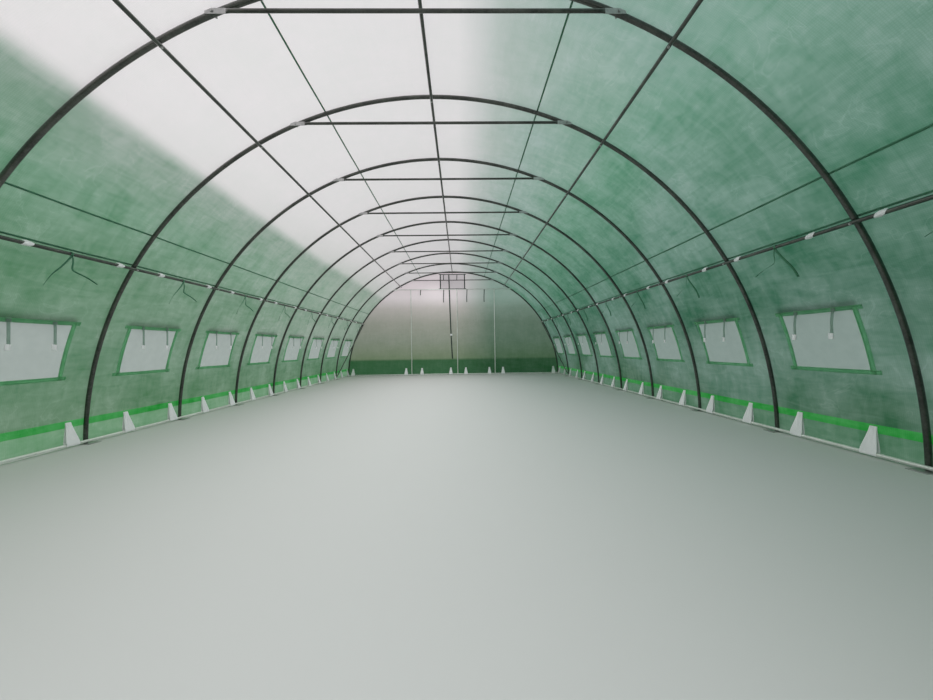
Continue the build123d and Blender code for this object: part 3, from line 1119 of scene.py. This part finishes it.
def end_sheet(name, side, holes, x_stops, z_stops, loose=0.0):
    """A film under the arch of an end; loose says how freely its upright edges move."""
    xs = grid_lines(x_stops, end_step)
    zs = grid_lines(z_stops, end_step)
    x, z = np.meshgrid(xs, zs, indexing="ij")
    arch = np.sqrt(np.maximum(hoop_outer**2 - x * x, 0)) + centre_z
    z = np.minimum(z, np.maximum(arch, ground_gap))
    freedom = np.clip((arch - z) / arch_hold, 0, 1)
    for start in (x_stops[0], x_stops[-1]):
        freedom = freedom * np.clip(np.abs(x - start) / side_hold + loose, 0, 1)
    y = side * (end_film_y + np.clip(freedom * ripple(x, z), belly_in, belly_out))
    mid_x, mid_z = cell_middles(xs, zs)
    keep = outside_holes(mid_x, mid_z, holes)
    keep &= mid_z < np.maximum(arch[:-1, :-1], arch[1:, :-1]) + end_step
    sheet = surface(name, np.stack([x, y, z], -1), np.stack([x, z], -1), end_film, keep)
    with editing(sheet.data) as builder:
        bmesh.ops.remove_doubles(builder, verts=builder.verts, dist=1e-5)
        bmesh.ops.dissolve_degenerate(builder, edges=builder.edges, dist=1e-5)
        if side > 0:
            bmesh.ops.reverse_faces(builder, faces=builder.faces)
    return sheet


end_reach = reach_at(hoop_outer, ground_gap)
bend = [end_reach * math.sin(turn) for turn in np.linspace(-quarter_turn, quarter_turn, 61)]
vent_x = vent_high.x
door_hole = (-post_x, post_x, 0.0, door_high)
vent_hole = (-vent_x, vent_x, vent_low.z, vent_high.z)
x_stops = sorted([*bend, -post_x, -vent_x, vent_x, post_x])
z_stops = [ground_gap, door_high, vent_low.z, vent_high.z, hoop_high.z]
for side, end in ENDS:
    sheet = end_sheet(f"end_film_{end}_sheet", side, [door_hole, vent_hole], x_stops, z_stops)
    declare(sheet, "green_film", f"end_film_{end}")
door_stops = [ground_gap, door_high]
door_sheet = end_sheet("door_film_back_sheet", 1, [], [-post_x, post_x], door_stops, loose=0.5)
declare(door_sheet, "green_film", "door_film_back")

# %% [markdown]
# ## Windows
#
# Each bay has a window: a fine pale insect net sewn into the film, a green hem round it
# whose strips run past one another at the corners, and two tapes with white hook patches
# that hold the rolled flap. Nets and hems follow the film's own shape.

# %% The net and the hem tape


def make_cloth():
    group, given, result = new_group(
        "cloth", {"Flat Place": "Vector", "Gap": "Float"}, {"Tone": "Float", "Height": "Float"}
    )
    place = given["Flat Place"]
    parts = parts_of(group, place)
    waves = []
    for axis in ("X", "Y"):
        turns = calculate(group, "DIVIDE", parts[axis], given["Gap"])
        waves.append(calculate(group, "SINE", product(group, turns, 2 * math.pi)))
    weave = product(group, *waves)
    tone = total(group, product(group, weave, 0.12), noise(group, place, 14.0, 4.0))
    feed_all(group, result, Tone=tone, Height=weave)
    return group


cloth = make_cloth()


def cloth_finish(name, dark, light, glow, gap=0.003, cloud=0.5, clear=0.0):
    """Woven cloth between two tones; glow is the share of light that comes through."""
    material, tree, shader = new_material(name)
    place = add_node(tree, "ShaderNodeTexCoord").outputs["UV"]
    effect = use_group(tree, cloth, Flat_Place=place, Gap=gap)
    tone = remap(tree, effect["Tone"], 0.3, 0.7, 0.5 - cloud, 0.5 + cloud)
    colour = mix_colours(tree, tone, lit(dark), lit(light))
    normal = bumps(tree, effect["Height"], 0.4, gap / 4)
    skin = glowing(tree, shader, glow, colour, normal, Roughness=0.85, Sheen_Weight=0.1)
    show_shader(tree, skin, clear)
    return material


net_weave = {"gap": 0.004, "cloud": 0.15}
# The left and right nets are lit and shaded copies of one net: the darker right-hand copy is painted shade.
net_cloth = cloth_finish("insect_net", (170, 180, 176), (192, 200, 196), 0.6, **net_weave)
shaded_net = cloth_finish("shaded_net", (146, 163, 157), (166, 182, 176), 0.6, **net_weave)
vent_net = cloth_finish("vent_net", (203, 195, 198), (216, 208, 211), 0.62, **net_weave)
green_tape = cloth_finish("green_tape", (64, 122, 92), (88, 150, 116), 0.4)
dark_tape = cloth_finish("dark_tape", (40, 56, 50), (60, 78, 70), 0.2)
hem_tape = cloth_finish("hem_tape", (134, 206, 158), (164, 228, 184), 0.65, clear=0.35)
hanging_tape = cloth_finish("hanging_tape", (150, 176, 162), (176, 200, 188), 0.6, clear=0.3)
white_webbing = cloth_finish("white_webbing", (246, 246, 248), (254, 254, 255), 0.2)

hem_width = 0.030
corner_past = 0.028
hem_reach = hem_width + corner_past
stitch_width = 0.008
hem_thickness = 0.0012
hem_lift = -0.0022  # towards the inside of the tunnel, as are the three below it
upright_lift = hem_lift - 0.0012
edging_lift = hem_lift - 0.0018
stitch_lift = hem_lift - 0.0030


def patch(angles, places, lift, step=0.03):
    """A small piece of cloth on the film, between two angles and two places."""
    lines = grid_lines(sorted(angles), step / film_radius)
    return film_strip("patch", lines, grid_lines(list(places), step), None, lift=lift)


def thicken(piece, thickness):
    """Gives a sheet its thickness, half on each of its faces."""
    solid = piece.modifiers.new("thickness", "SOLIDIFY")
    solid.thickness = thickness
    solid.offset = 0
    return piece


for side, label in SIDES:
    nets = []
    hems = []
    low = side * window_low
    high = side * window_high
    down = side * hem_width / film_radius
    past = side * corner_past / film_radius
    for y in bay_middles:
        near = y - window_half
        far = y + window_half
        run = (near - hem_reach, far + hem_reach)
        nets.append(patch((low, high), (near, far), 0.0))
        hems.append(patch((low, low + down), run, hem_lift))
        hems.append(patch((high, high - down), run, hem_lift))
        for start in (near - hem_width, far):
            hems.append(patch((low + past, high - past), (start, start + hem_width), upright_lift))
            stitch = start if start > near else start + hem_width - stitch_width
            hems.append(patch((low, high), (stitch, stitch + stitch_width), stitch_lift))
        hems.append(patch((high - down, high - down * 0.7), run, edging_lift))
        hems.append(patch((low, low + down * 0.25), run, edging_lift))
    net = join(f"window_net_panels_{label}", nets, net_cloth if side < 0 else shaded_net)
    declare(net, "window_net", f"window_nets_{label}")
    hem = thicken(join(f"window_hem_tapes_{label}", hems, hem_tape), hem_thickness)
    declare(hem, "dark_green_tape", f"window_hems_{label}")

# %% [markdown]
# A vent window sits over each door header. Its net and hem are flat, made like the others.

# %% Vents
vent_step = 0.05
vent_hem_width = 0.020
level_hem_lift = -0.0045
upright_hem_lift = -0.0053


def end_patch(x_ends, z_ends, side, lift):
    """A small flat piece of cloth on an end wall."""
    xs = grid_lines(sorted(x_ends), vent_step)
    zs = grid_lines(sorted(z_ends), vent_step)
    x, z = np.meshgrid(xs, zs, indexing="ij")
    y = np.full_like(x, side * (end_film_y + lift))
    part = surface("patch", np.stack([x, y, z], -1), np.stack([x, z], -1), None)
    if side > 0:
        part.data.flip_normals()
    return part


vent_parts = []
vent_tapes = []
hem_ends = (-vent_x - hem_reach, vent_x + hem_reach)
hem_heights = (vent_low.z - vent_hem_width, vent_high.z + vent_hem_width)
for side, end in ENDS:
    vent_parts.append(end_patch((-vent_x, vent_x), (vent_low.z, vent_high.z), side, 0.0))
    for edge, other in zip((vent_low.z, vent_high.z), hem_heights):
        vent_tapes.append(end_patch(hem_ends, (edge, other), side, level_hem_lift))
    for edge in (-vent_x, vent_x):
        other = edge + math.copysign(hem_width, edge)
        vent_tapes.append(end_patch((edge, other), hem_heights, side, upright_hem_lift))
vents = join("vent_net_panels", vent_parts, vent_net)
declare(vents, "window_net", "vent_nets")
vent_hem = thicken(join("vent_hem_tapes", vent_tapes, dark_tape), hem_thickness)
declare(vent_hem, "dark_green_tape", "vent_hems")

# %% [markdown]
# ## Rolled flaps
#
# The flap of each window is rolled up outside, above it, and the near door is rolled up
# inside its header. A roll is a spiral: seen from its end it shows its turns. The tree draws
# a spiral, sweeps it along the roll's length and lets it go soft and uneven.

# %% Roll the flaps


def make_roll_tree():
    sizes = ("Length", "Outer Radius", "Inner Radius", "Turns", "Looseness")
    tree, given, result = new_tree("rolled_flap", {size: "Float" for size in sizes})
    spiral = add_node(tree, "GeometryNodeCurveSpiral", Resolution=26, Height=0.0, Rotations=given["Turns"])
    feed_all(tree, spiral, Start_Radius=given["Inner Radius"], End_Radius=given["Outer Radius"])
    run = tree.nodes.new("GeometryNodeCurvePrimitiveLine")
    for end, share in (("Start", -0.5), ("End", 0.5)):
        tip = add_node(tree, "ShaderNodeCombineXYZ", Y=product(tree, given["Length"], share))
        feed(tree, run.inputs[end], tip.outputs["Vector"])
    steps = add_node(tree, "GeometryNodeResampleCurve", Curve=run.outputs["Curve"], Count=28)
    roll = sweep(tree, steps.outputs["Curve"], spiral.outputs["Curve"], caps=False)
    wave = add_node(tree, "ShaderNodeTexNoise", Scale=14.0, Detail=2.0)
    centred = vectors(tree, "SUBTRACT", wave.outputs["Color"], (0.5, 0.5, 0.5))
    offset = vectors(tree, "SCALE", centred, given["Looseness"])
    moved = add_node(tree, "GeometryNodeSetPosition", Geometry=roll, Offset=offset)
    smooth = add_node(tree, "GeometryNodeSetShadeSmooth", Geometry=moved.outputs["Geometry"])
    return finish_tree(tree, given, result, smooth.outputs["Geometry"])


roll_tree = make_roll_tree()
roll_film = film_finish("roll_film", plain_colour(96, 146, 118), crumple=0.6)


def roll_up(name, length, inner, outer, turns, looseness):
    """A roll of film along Y, and how much film is wound up in it."""
    sizes = {"length": length, "inner_radius": inner, "outer_radius": outer, "turns": turns}
    roll = grow(name, roll_tree, looseness=looseness, material=roll_film, **sizes)
    return roll, math.pi * turns * (inner + outer)


def flat_map(piece, *axes):
    """A plain UV map in metres from two of the axes."""
    mesh = piece.data
    layer = mesh.uv_layers[0] if mesh.uv_layers else mesh.uv_layers.new(name="flat")
    places = [mesh.vertices[loop.vertex_index].co[axis] for loop in mesh.loops for axis in axes]
    layer.data.foreach_set("uv", places)


flap_length = 2 * (bay_middles[0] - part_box("window_rolls_right")[0].y)
flap_sizes = {"inner": 0.006, "outer": 0.021, "turns": 5.0, "looseness": 0.0045}
roll_rise = 0.045  # round the arch, from the top of a window to its roll's axis
roll_room = 0.0235  # from the outside of the film to a roll's axis
roll_reach = film_radius + film_gap + roll_room
roll_turn = math.asin((net_high.z - centre_z) / film_radius) + roll_rise / roll_reach
roll_x = roll_reach * math.cos(roll_turn)
roll_z = roll_reach * math.sin(roll_turn) + centre_z
for side, label in SIDES:
    one_flap, flap_rolled = roll_up("one_flap", flap_length, **flap_sizes)
    roll_places = [((side * roll_x, y, roll_z), straight) for y in bay_middles]
    rolls = copies(f"window_flaps_{label}", one_flap, roll_places, roll_film)
    flat_map(rolls, 2, 1)
    declare(rolls, "green_film", f"window_rolls_{label}")

door_roll_length = 2 * post_x - 0.01
door_roll_radius = across("door_roll_front", 2) / 2
door_sizes = {"inner": 0.016, "outer": door_roll_radius - 0.003, "turns": 8.0, "looseness": 0.009}
one_door, door_rolled = roll_up("one_door_roll", door_roll_length, **door_sizes)
door_roll_place = (0, middle("door_roll_front", 1), middle("door_roll_front", 2))
near_door = copies("door_film_rolled_front", one_door, [(door_roll_place, facing_end(1))], roll_film)
flat_map(near_door, 0, 2)
declare(near_door, "green_film", "door_roll_front")
print("flap of", round(flap_rolled, 3), "m, door of", round(door_rolled, 2), "m rolled")

# %% [markdown]
# ## Seams
#
# The strips are sewn together with a darker tape on both faces. One more tape runs along each
# side purlin, where the film is tied to it, and the same tape closes the cover along both end
# arches. A seam must lie on the film wherever the film goes, so the film's own rule makes it.

# %% Sew the seams
seam_half = 0.011 / 2 / film_radius  # half a seam tape's width, as an angle
seam_lift = 0.0016
tied_angle = math.radians(58.45)
edge_width = 0.030
edge_lift = 0.0062
seam_parts = []
for angle in (-tied_angle, -seam_outer, -seam_inner, seam_inner, seam_outer, tied_angle):
    for lift in (-seam_lift, seam_lift):
        tape_angles = (angle - seam_half, angle + seam_half)
        seam_parts.append(patch(tape_angles, (-cover_end, cover_end), lift))
seams = join("seam_tapes", seam_parts, green_tape)
declare(thicken(seams, 0.0008), "dark_green_tape")
edge_parts = []
for side, end in ENDS:
    tape_ends = sorted((side * cover_end, side * (cover_end - edge_width)))
    edge_parts.append(patch((-skirt_bottom, skirt_bottom), tape_ends, edge_lift, step=0.06))
edges = join("end_edge_tapes", edge_parts, green_tape)
declare(thicken(edges, 0.001), "dark_green_tape")
print("seam faces", len(seams.data.polygons))

# %% [markdown]
# ## White straps at the base
#
# Each strap is a loop: it leaves the film as a narrow gathered top, goes down in front of the
# base rail, round under it and up again behind it. It is widest at the rail, and the
# gathering leaves soft pleats. One strap is made as a ribbon along a path, and the copies
# tree sets it at every place.

# %% Fold one base strap
rail_radius = across("base_rail_right", 2) / 2
rail_x = middle("base_rail_right", 0)
rail_z = middle("base_rail_right", 2)
strap_top_z = 0.205
strap_width = 0.098
leg_widths = [0.042, 0.048, 0.062, 0.082, strap_width]
leg_shares = np.array([1.0, 0.82, 0.60, 0.36, 0.14])[:, None]
strap_thickness = 0.0014
strap_columns = 13
pleat_depth = 0.0035
pleat_count = 2.5


def keep_shape(piece):
    """Turns a piece's modifiers into its plain mesh."""
    mesh = as_evaluated(piece)
    piece.modifiers.clear()
    piece.data = mesh
    return piece


def distance_along(points):
    """How far along a path each of its points is."""
    return np.concatenate([[0], np.cumsum(np.linalg.norm(np.diff(points, axis=0), axis=1))])


def ribbon(name, path, widths):
    """A strip of webbing in local places: a path of (x, z) with a width along Y at each step."""
    step = np.gradient(path, axis=0)
    normal = np.stack([step[:, 1], -step[:, 0]], -1)
    normal /= np.linalg.norm(normal, axis=1)[:, None]
    share = np.linspace(-0.5, 0.5, strap_columns)
    run = distance_along(path)
    gathered = 1 - np.array(widths) / max(widths)
    wave = np.cos(share * 2 * math.pi * pleat_count)[None, :] * gathered[:, None] * pleat_depth
    x = path[:, 0][:, None] + normal[:, 0][:, None] * wave
    z = path[:, 1][:, None] + normal[:, 1][:, None] * wave
    y = np.array(widths)[:, None] * share[None, :]
    flat = np.stack([y, np.broadcast_to(run[:, None], y.shape)], -1)
    strip = surface(name, np.stack([x, y, z], -1), flat, white_webbing)
    return keep_shape(thicken(strip, strap_thickness))


def base_strap(name, reach):
    """A strap in its own place: the rail's middle is at 0, the film is reach further out along X."""
    wrap = rail_radius + strap_thickness
    top = np.array([reach - 0.003, strap_top_z - rail_z])
    towards = math.atan2(top[1], top[0])
    spread = math.acos(wrap / np.hypot(*top))
    turns = np.linspace(towards + spread, towards - spread + 2 * math.pi, 18)
    loop = np.stack([wrap * np.cos(turns), wrap * np.sin(turns)], -1)
    front = leg_shares * (top - (0.002, 0)) + (1 - leg_shares) * loop[0]
    back = (leg_shares * top + (1 - leg_shares) * loop[-1])[::-1]
    widths = leg_widths + [strap_width] * len(loop) + leg_widths[::-1]
    return ribbon(name, np.concatenate([front, loop, back]), widths)


side_reach = reach_at(hoop_outer, strap_top_z) - rail_x - 0.001
side_starts = ((1, (0.280, 0.790)), (-1, (0.360, 0.870)))  # two a bay, this far beyond each hoop
side_places = []
for side, starts in side_starts:
    for y in hoop_places[:-1]:
        side_places += [((side * rail_x, y + start, rail_z), facing(side)) for start in starts]
side_strap = base_strap("one_side_strap", side_reach)
side_straps = copies("side_base_straps", side_strap, side_places, white_webbing)
corner_inset = 0.090
corner_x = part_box("end_sills")[1].x - corner_inset
post_starts = (
    (-post_x, (-0.165, 0.285)),
    (middle_post_x, (-0.200, 0.230)),
    (post_x, (-0.165, 0.225)),
)
end_starts = [-corner_x, corner_x]
end_starts += [start + post for post, starts in post_starts for start in starts]
end_places = [((x, frame_y, rail_z), facing_end(1)) for x in end_starts]
end_places += [((-x, -frame_y, rail_z), facing_end(-1)) for x in end_starts if abs(x) > post_x]
end_strap = base_strap("one_end_strap", end_y - frame_y)
end_straps = copies("end_base_straps", end_strap, end_places, white_webbing)
straps = join("base_strap_webbing", [side_straps, end_straps], white_webbing)
declare(smooth_by_angle(straps, 60), "white_webbing", "base_straps")
print("base straps", len(side_places) + len(end_places), "faces", len(straps.data.polygons))

# %% [markdown]
# ## White wraps and dark tie tapes on the side purlins
#
# The film is held to the side purlins by short white wraps, two in each bay. Between them
# hangs a dark green tape, knotted in its middle, with two loose tails.

# %% Wraps on the side purlins
purlin_radius = 0.0125
purlin_x = middle("side_purlin_right", 0)
purlin_z = middle("side_purlin_right", 2)
purlin_angle = math.atan2(purlin_x, purlin_z - centre_z)
wrap_length = 0.052
wrap_rows = 14
wrap_columns = 24
wrap_starts = (-0.145, 0.245)  # from each hoop
wrap_swell = 0.0030
wrap_crest = 0.0150  # what its upper side swells more
wrap_slant = 0.008


def wrap_shape(name):
    """A short soft sleeve round a tube along Y, thicker on its upper side."""
    rings = []
    for i in range(wrap_rows):
        t = i / (wrap_rows - 1)
        bulge = math.sin(math.pi * t) ** 0.5
        ring = []
        for j in range(wrap_columns):
            turn = 2 * math.pi * j / wrap_columns
            crest = max(0.0, math.sin(turn)) ** 2
            fold = 0.0009 * math.sin(5 * turn + 9 * t) + 0.0006 * math.sin(26 * t + 2 * turn)
            radius = purlin_radius + 0.0006 + bulge * (wrap_swell + wrap_crest * crest + fold)
            slant = wrap_slant * math.cos(turn)
            ring.append((radius * math.cos(turn), (t - 0.5) * wrap_length + slant, radius * math.sin(turn)))
        rings.append(ring)
    return piece_from_mesh(name, tube_of_rings(name, rings), white_webbing)


wrap_places = []
for side, label in SIDES:
    turn = (0, side * purlin_angle, 0)
    ys = [y + start for y in hoop_places for start in wrap_starts if abs(y + start) < end_y]
    wrap_places += [((side * purlin_x, y, purlin_z), turn) for y in ys]
wraps = copies("purlin_wraps", wrap_shape("one_wrap"), wrap_places, white_webbing)
flat_map(wraps, 0, 1)
declare(smooth_by_angle(wraps, 50), "white_webbing")
print("wraps", len(wrap_places))

# %% Tie tapes and window tapes
tape_thickness = 0.0012


def tape(name, path, width, thickness=tape_thickness, twist=0.0):
    """A narrow tape along a path of points; its width runs level, across the path."""
    curve = bpy.data.curves.new(name, "CURVE")
    curve.dimensions = "3D"
    spline = curve.splines.new("NURBS")
    spline.points.add(len(path) - 1)
    for point, place in zip(spline.points, path):
        point.co = (*place, 1)
    spline.order_u = 3
    spline.use_endpoint_u = True
    spline.resolution_u = 6
    holder = bpy.data.objects.new(name, curve)
    scene.collection.objects.link(holder)
    spots = np.array([v.co for v in as_evaluated(holder).vertices])
    bpy.data.objects.remove(holder)
    step = np.gradient(spots, axis=0)
    step /= np.linalg.norm(step, axis=1)[:, None]
    level = np.cross(step, np.array([1.0, 0.0, 0.0]))
    lengths = np.linalg.norm(level, axis=1)[:, None]
    level = np.where(lengths > 1e-3, level / np.maximum(lengths, 1e-3), np.array([0.0, 1.0, 0.0]))
    normal = np.cross(level, step)
    turn = np.linspace(0, twist, len(spots))[:, None]
    level = level * np.cos(turn) + normal * np.sin(turn)
    across_tape = width * np.linspace(-0.5, 0.5, 3)
    points = spots[:, None, :] + level[:, None, :] * across_tape[None, :, None]
    run = distance_along(spots)[:, None]
    flat = np.stack(np.broadcast_arrays(across_tape[None, :], run), -1)
    return keep_shape(thicken(surface(name, points, flat, green_tape), thickness))


near_tail = [
    (-0.004, 0, -0.014),
    (-0.014, -0.02, -0.035),
    (-0.004, -0.07, -0.11),
    (0.006, -0.13, -0.18),
    (0.0, -0.17, -0.25),
]
far_tail = [
    (-0.004, 0.004, -0.014),
    (-0.018, 0.000, -0.05),
    (-0.012, -0.010, -0.11),
    (-0.006, 0.02, -0.125),
    (-0.012, 0.10, -0.15),
    (-0.006, 0.17, -0.185),
]


def tie_tape(name, way):
    """A knotted tape with two tails; one leans towards the front end, way mirrors it along Y."""
    ring = purlin_radius + tape_thickness
    turns = np.linspace(-1.4, 1.8 * math.pi, 12)
    knot = [(ring * math.cos(a), way * 0.004 * math.sin(a), ring * math.sin(a)) for a in turns]
    parts = [tape("knot", knot, 0.018)]
    for tail, width, twist in ((near_tail, 0.014, 0.9), (far_tail, 0.010, -1.3)):
        parts.append(tape("tail", [(x, way * y, z) for x, y, z in tail], width, twist=twist))
    return join(name, parts, green_tape)


tie_parts = []
for side, label in SIDES:
    spots = [((side * purlin_x, y, purlin_z), facing(side)) for y in bay_middles]
    tie_parts.append(copies(f"tie_tapes_{label}", tie_tape("one_tie_tape", side), spots, green_tape))
declare(join("purlin_tie_tapes", tie_parts, green_tape), "dark_green_tape")

tape_end = -0.190
tape_top_x = film_radius * math.sin(window_high) - 0.010
tape_top_z = film_radius * math.cos(window_high) + centre_z + 0.006
tape_shifts = (-0.14, 0.13)
tape_spots = []
for side, label in SIDES:
    ys = [y + shift for y in bay_middles for shift in tape_shifts]
    tape_spots += [((side * tape_top_x, y, tape_top_z), facing(side)) for y in ys]
hanging = [
    (-0.006, 0, 0.018),
    (-0.006, 0, 0.0),
    (-0.010, 0.003, -0.04),
    (-0.011, 0.006, -0.11),
    (-0.007, 0.004, tape_end),
]
stitched = [(-0.008, 0, 0.024), (-0.008, 0, 0.008), (-0.008, 0, -0.010)]
hooked = [
    (-0.011, 0.010, tape_end + 0.032),
    (-0.010, 0.012, tape_end + 0.010),
    (-0.009, 0.012, tape_end - 0.010),
]
tapes = copies("hanging_tapes", tape("one_tape", hanging, 0.020), tape_spots, hanging_tape)
stitches = copies("box_stitches", tape("one_stitch", stitched, 0.030, 0.003), tape_spots, hanging_tape)
declare(join("window_tapes", [tapes, stitches], hanging_tape), "dark_green_tape")
hooks = copies("window_hook_patches", tape("one_hook", hooked, 0.034, 0.002), tape_spots, white_webbing)
declare(hooks, "white_webbing")
print("tie tapes", 2 * len(bay_middles), "window tapes", len(tape_spots))

# %% [markdown]
# ## Tapes at the ends
#
# Four dark tapes hang from each door header, to tie the rolled door up. Two shorter ones hang
# in the vent window. A long strap runs down from the crown in front of the middle post, with a
# white hook patch half way, and stops short of the ground.

# %% Tapes on the end walls
end_tape_y = frame_y - post_radius - 0.004
vent_tape_y = end_film_y - 0.006
vent_tape_top = vent_high.z - 0.004
header_top = header_height - tie_radius
door_tapes = {0.15: (-0.90,), 0.36: (-0.25, 0.41, 0.90)}  # how far they hang, and where along X
vent_tape_spots = (-0.25, 0.13)
strap_y = hoop_places[-1] - hoop_tube / 2 - 0.004
strap_places = [((0, side * strap_y, 0), facing_end(side)) for side, end in ENDS]
door_path = [(0.002, 0, 0.0), (-0.004, 0.004, -0.3), (-0.002, 0.012, -0.7), (0.0, 0.008, -1.0)]
vent_path = [(0.0, 0, 0.0), (-0.004, 0.003, -0.05), (-0.003, 0.006, -0.14)]
crown_path = [
    (0.0, 0.100, hoop_high.z - 0.075),
    (-0.004, 0.088, 2.2),
    (0.0, 0.070, 1.4),
    (-0.003, 0.050, 0.9),
    (0.0, 0.030, 0.46),
]
hook_path = [(-0.006, 0.055, 1.165), (-0.006, 0.055, 1.14), (-0.006, 0.054, 1.115)]


def end_tapes(name, path, width, places):
    """Copies of one dark tape on an end wall."""
    return copies(name, tape("one_tape", path, width), places, dark_tape)


parts = []
for (side, end), strap_place in zip(ENDS, strap_places):
    turn = facing_end(side)
    for drop, spots in door_tapes.items():
        path = [(x, y, share * drop) for x, y, share in door_path]
        places = [((side * x, side * end_tape_y, header_top), turn) for x in spots]
        parts.append(end_tapes("door_tapes", path, 0.022, places))
    places = [((side * x, side * vent_tape_y, vent_tape_top), turn) for x in vent_tape_spots]
    parts.append(end_tapes("vent_tapes", vent_path, 0.020, places))
    parts.append(end_tapes("crown_strap", crown_path, 0.032, [strap_place]))
declare(join("end_wall_tapes", parts, dark_tape), "dark_green_tape")
one_hook = tape("one_patch", hook_path, 0.060, 0.002)
declare(copies("crown_strap_patches", one_hook, strap_places, white_webbing), "white_webbing")
print("end tapes", len(parts), "groups")

# %% [markdown]
# ## Bolts and screws
#
# A bolt clamps each pressed end to its hoop, and a screw holds each purlin to each hoop it
# passes. They are small, so each has only a few dozen faces.

# %% Bolts
hexagon = 1.1547  # from a hexagon's flat to its corner
bolt_grip = hoop_tube + lap_thickness
bolt_head = 0.0065 * hexagon
bolt_discs = (  # radius, start, end and number of sides
    (0.0095, -0.0016, 0.0, 18),
    (bolt_head, -0.0066, -0.0016, 6),
    (0.0095, bolt_grip, bolt_grip + 0.0016, 18),
    (bolt_head, bolt_grip + 0.0016, bolt_grip + 0.0071, 6),
    (0.004, bolt_grip + 0.0071, bolt_grip + 0.0125, 10),
)
screw_discs = ((0.0085, 0.0, -0.0014, 16), (0.0055, -0.0014, -0.0062, 6))


def fastener(name, discs, axis, turn):
    """Discs stacked along an axis, as one piece."""
    mesh = bpy.data.meshes.new(name)
    with editing(mesh) as builder:
        for radius, start, end, sides in discs:
            bmesh.ops.create_cone(
                builder,
                cap_ends=True,
                segments=sides,
                radius1=radius,
                radius2=radius,
                depth=abs(end - start),
                matrix=Matrix.Translation((start + end) / 2 * axis) @ turn,
            )
    return piece_from_mesh(name, mesh, bolt_steel)


bolt_places = []
for (x, y, z), side in zip(tie_places, tie_side):
    for reach in (-tie_bolt, tie_bolt):
        bolt_places.append(((reach, y + side * lap_thickness / 2, z), facing(-side)))
header_bolt = reach_at(hoop_middle, header_height)
for side, end in ENDS:
    for reach in (-header_bolt, header_bolt):
        bolt_place = (reach, side * (frame_y - lap_thickness / 2), header_height)
        bolt_places.append((bolt_place, facing(side)))
one_bolt = fastener("one_bolt", bolt_discs, Vector((0, 1, 0)), Matrix.Rotation(math.pi / 2, 4, "X"))
declare(copies("lap_bolts", one_bolt, bolt_places, bolt_steel), "galvanised_tube")

screw_reach = purlin_radius - 0.0004
screw_places = []
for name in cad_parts:
    if "purlin" in name:
        x, z = middle(name, 0), middle(name, 2)
        angle = math.atan2(x, z - centre_z)
        screw_x = x - screw_reach * math.sin(angle)
        screw_z = z - screw_reach * math.cos(angle)
        screw_places += [((screw_x, y, screw_z), (0, angle, 0)) for y in hoop_places]
one_screw = fastener("one_screw", screw_discs, Vector((0, 0, 1)), Matrix.Identity(4))
declare(copies("purlin_screws", one_screw, screw_places, bolt_steel), "galvanised_tube")
print("bolts", len(bolt_places), "screws", len(screw_places))
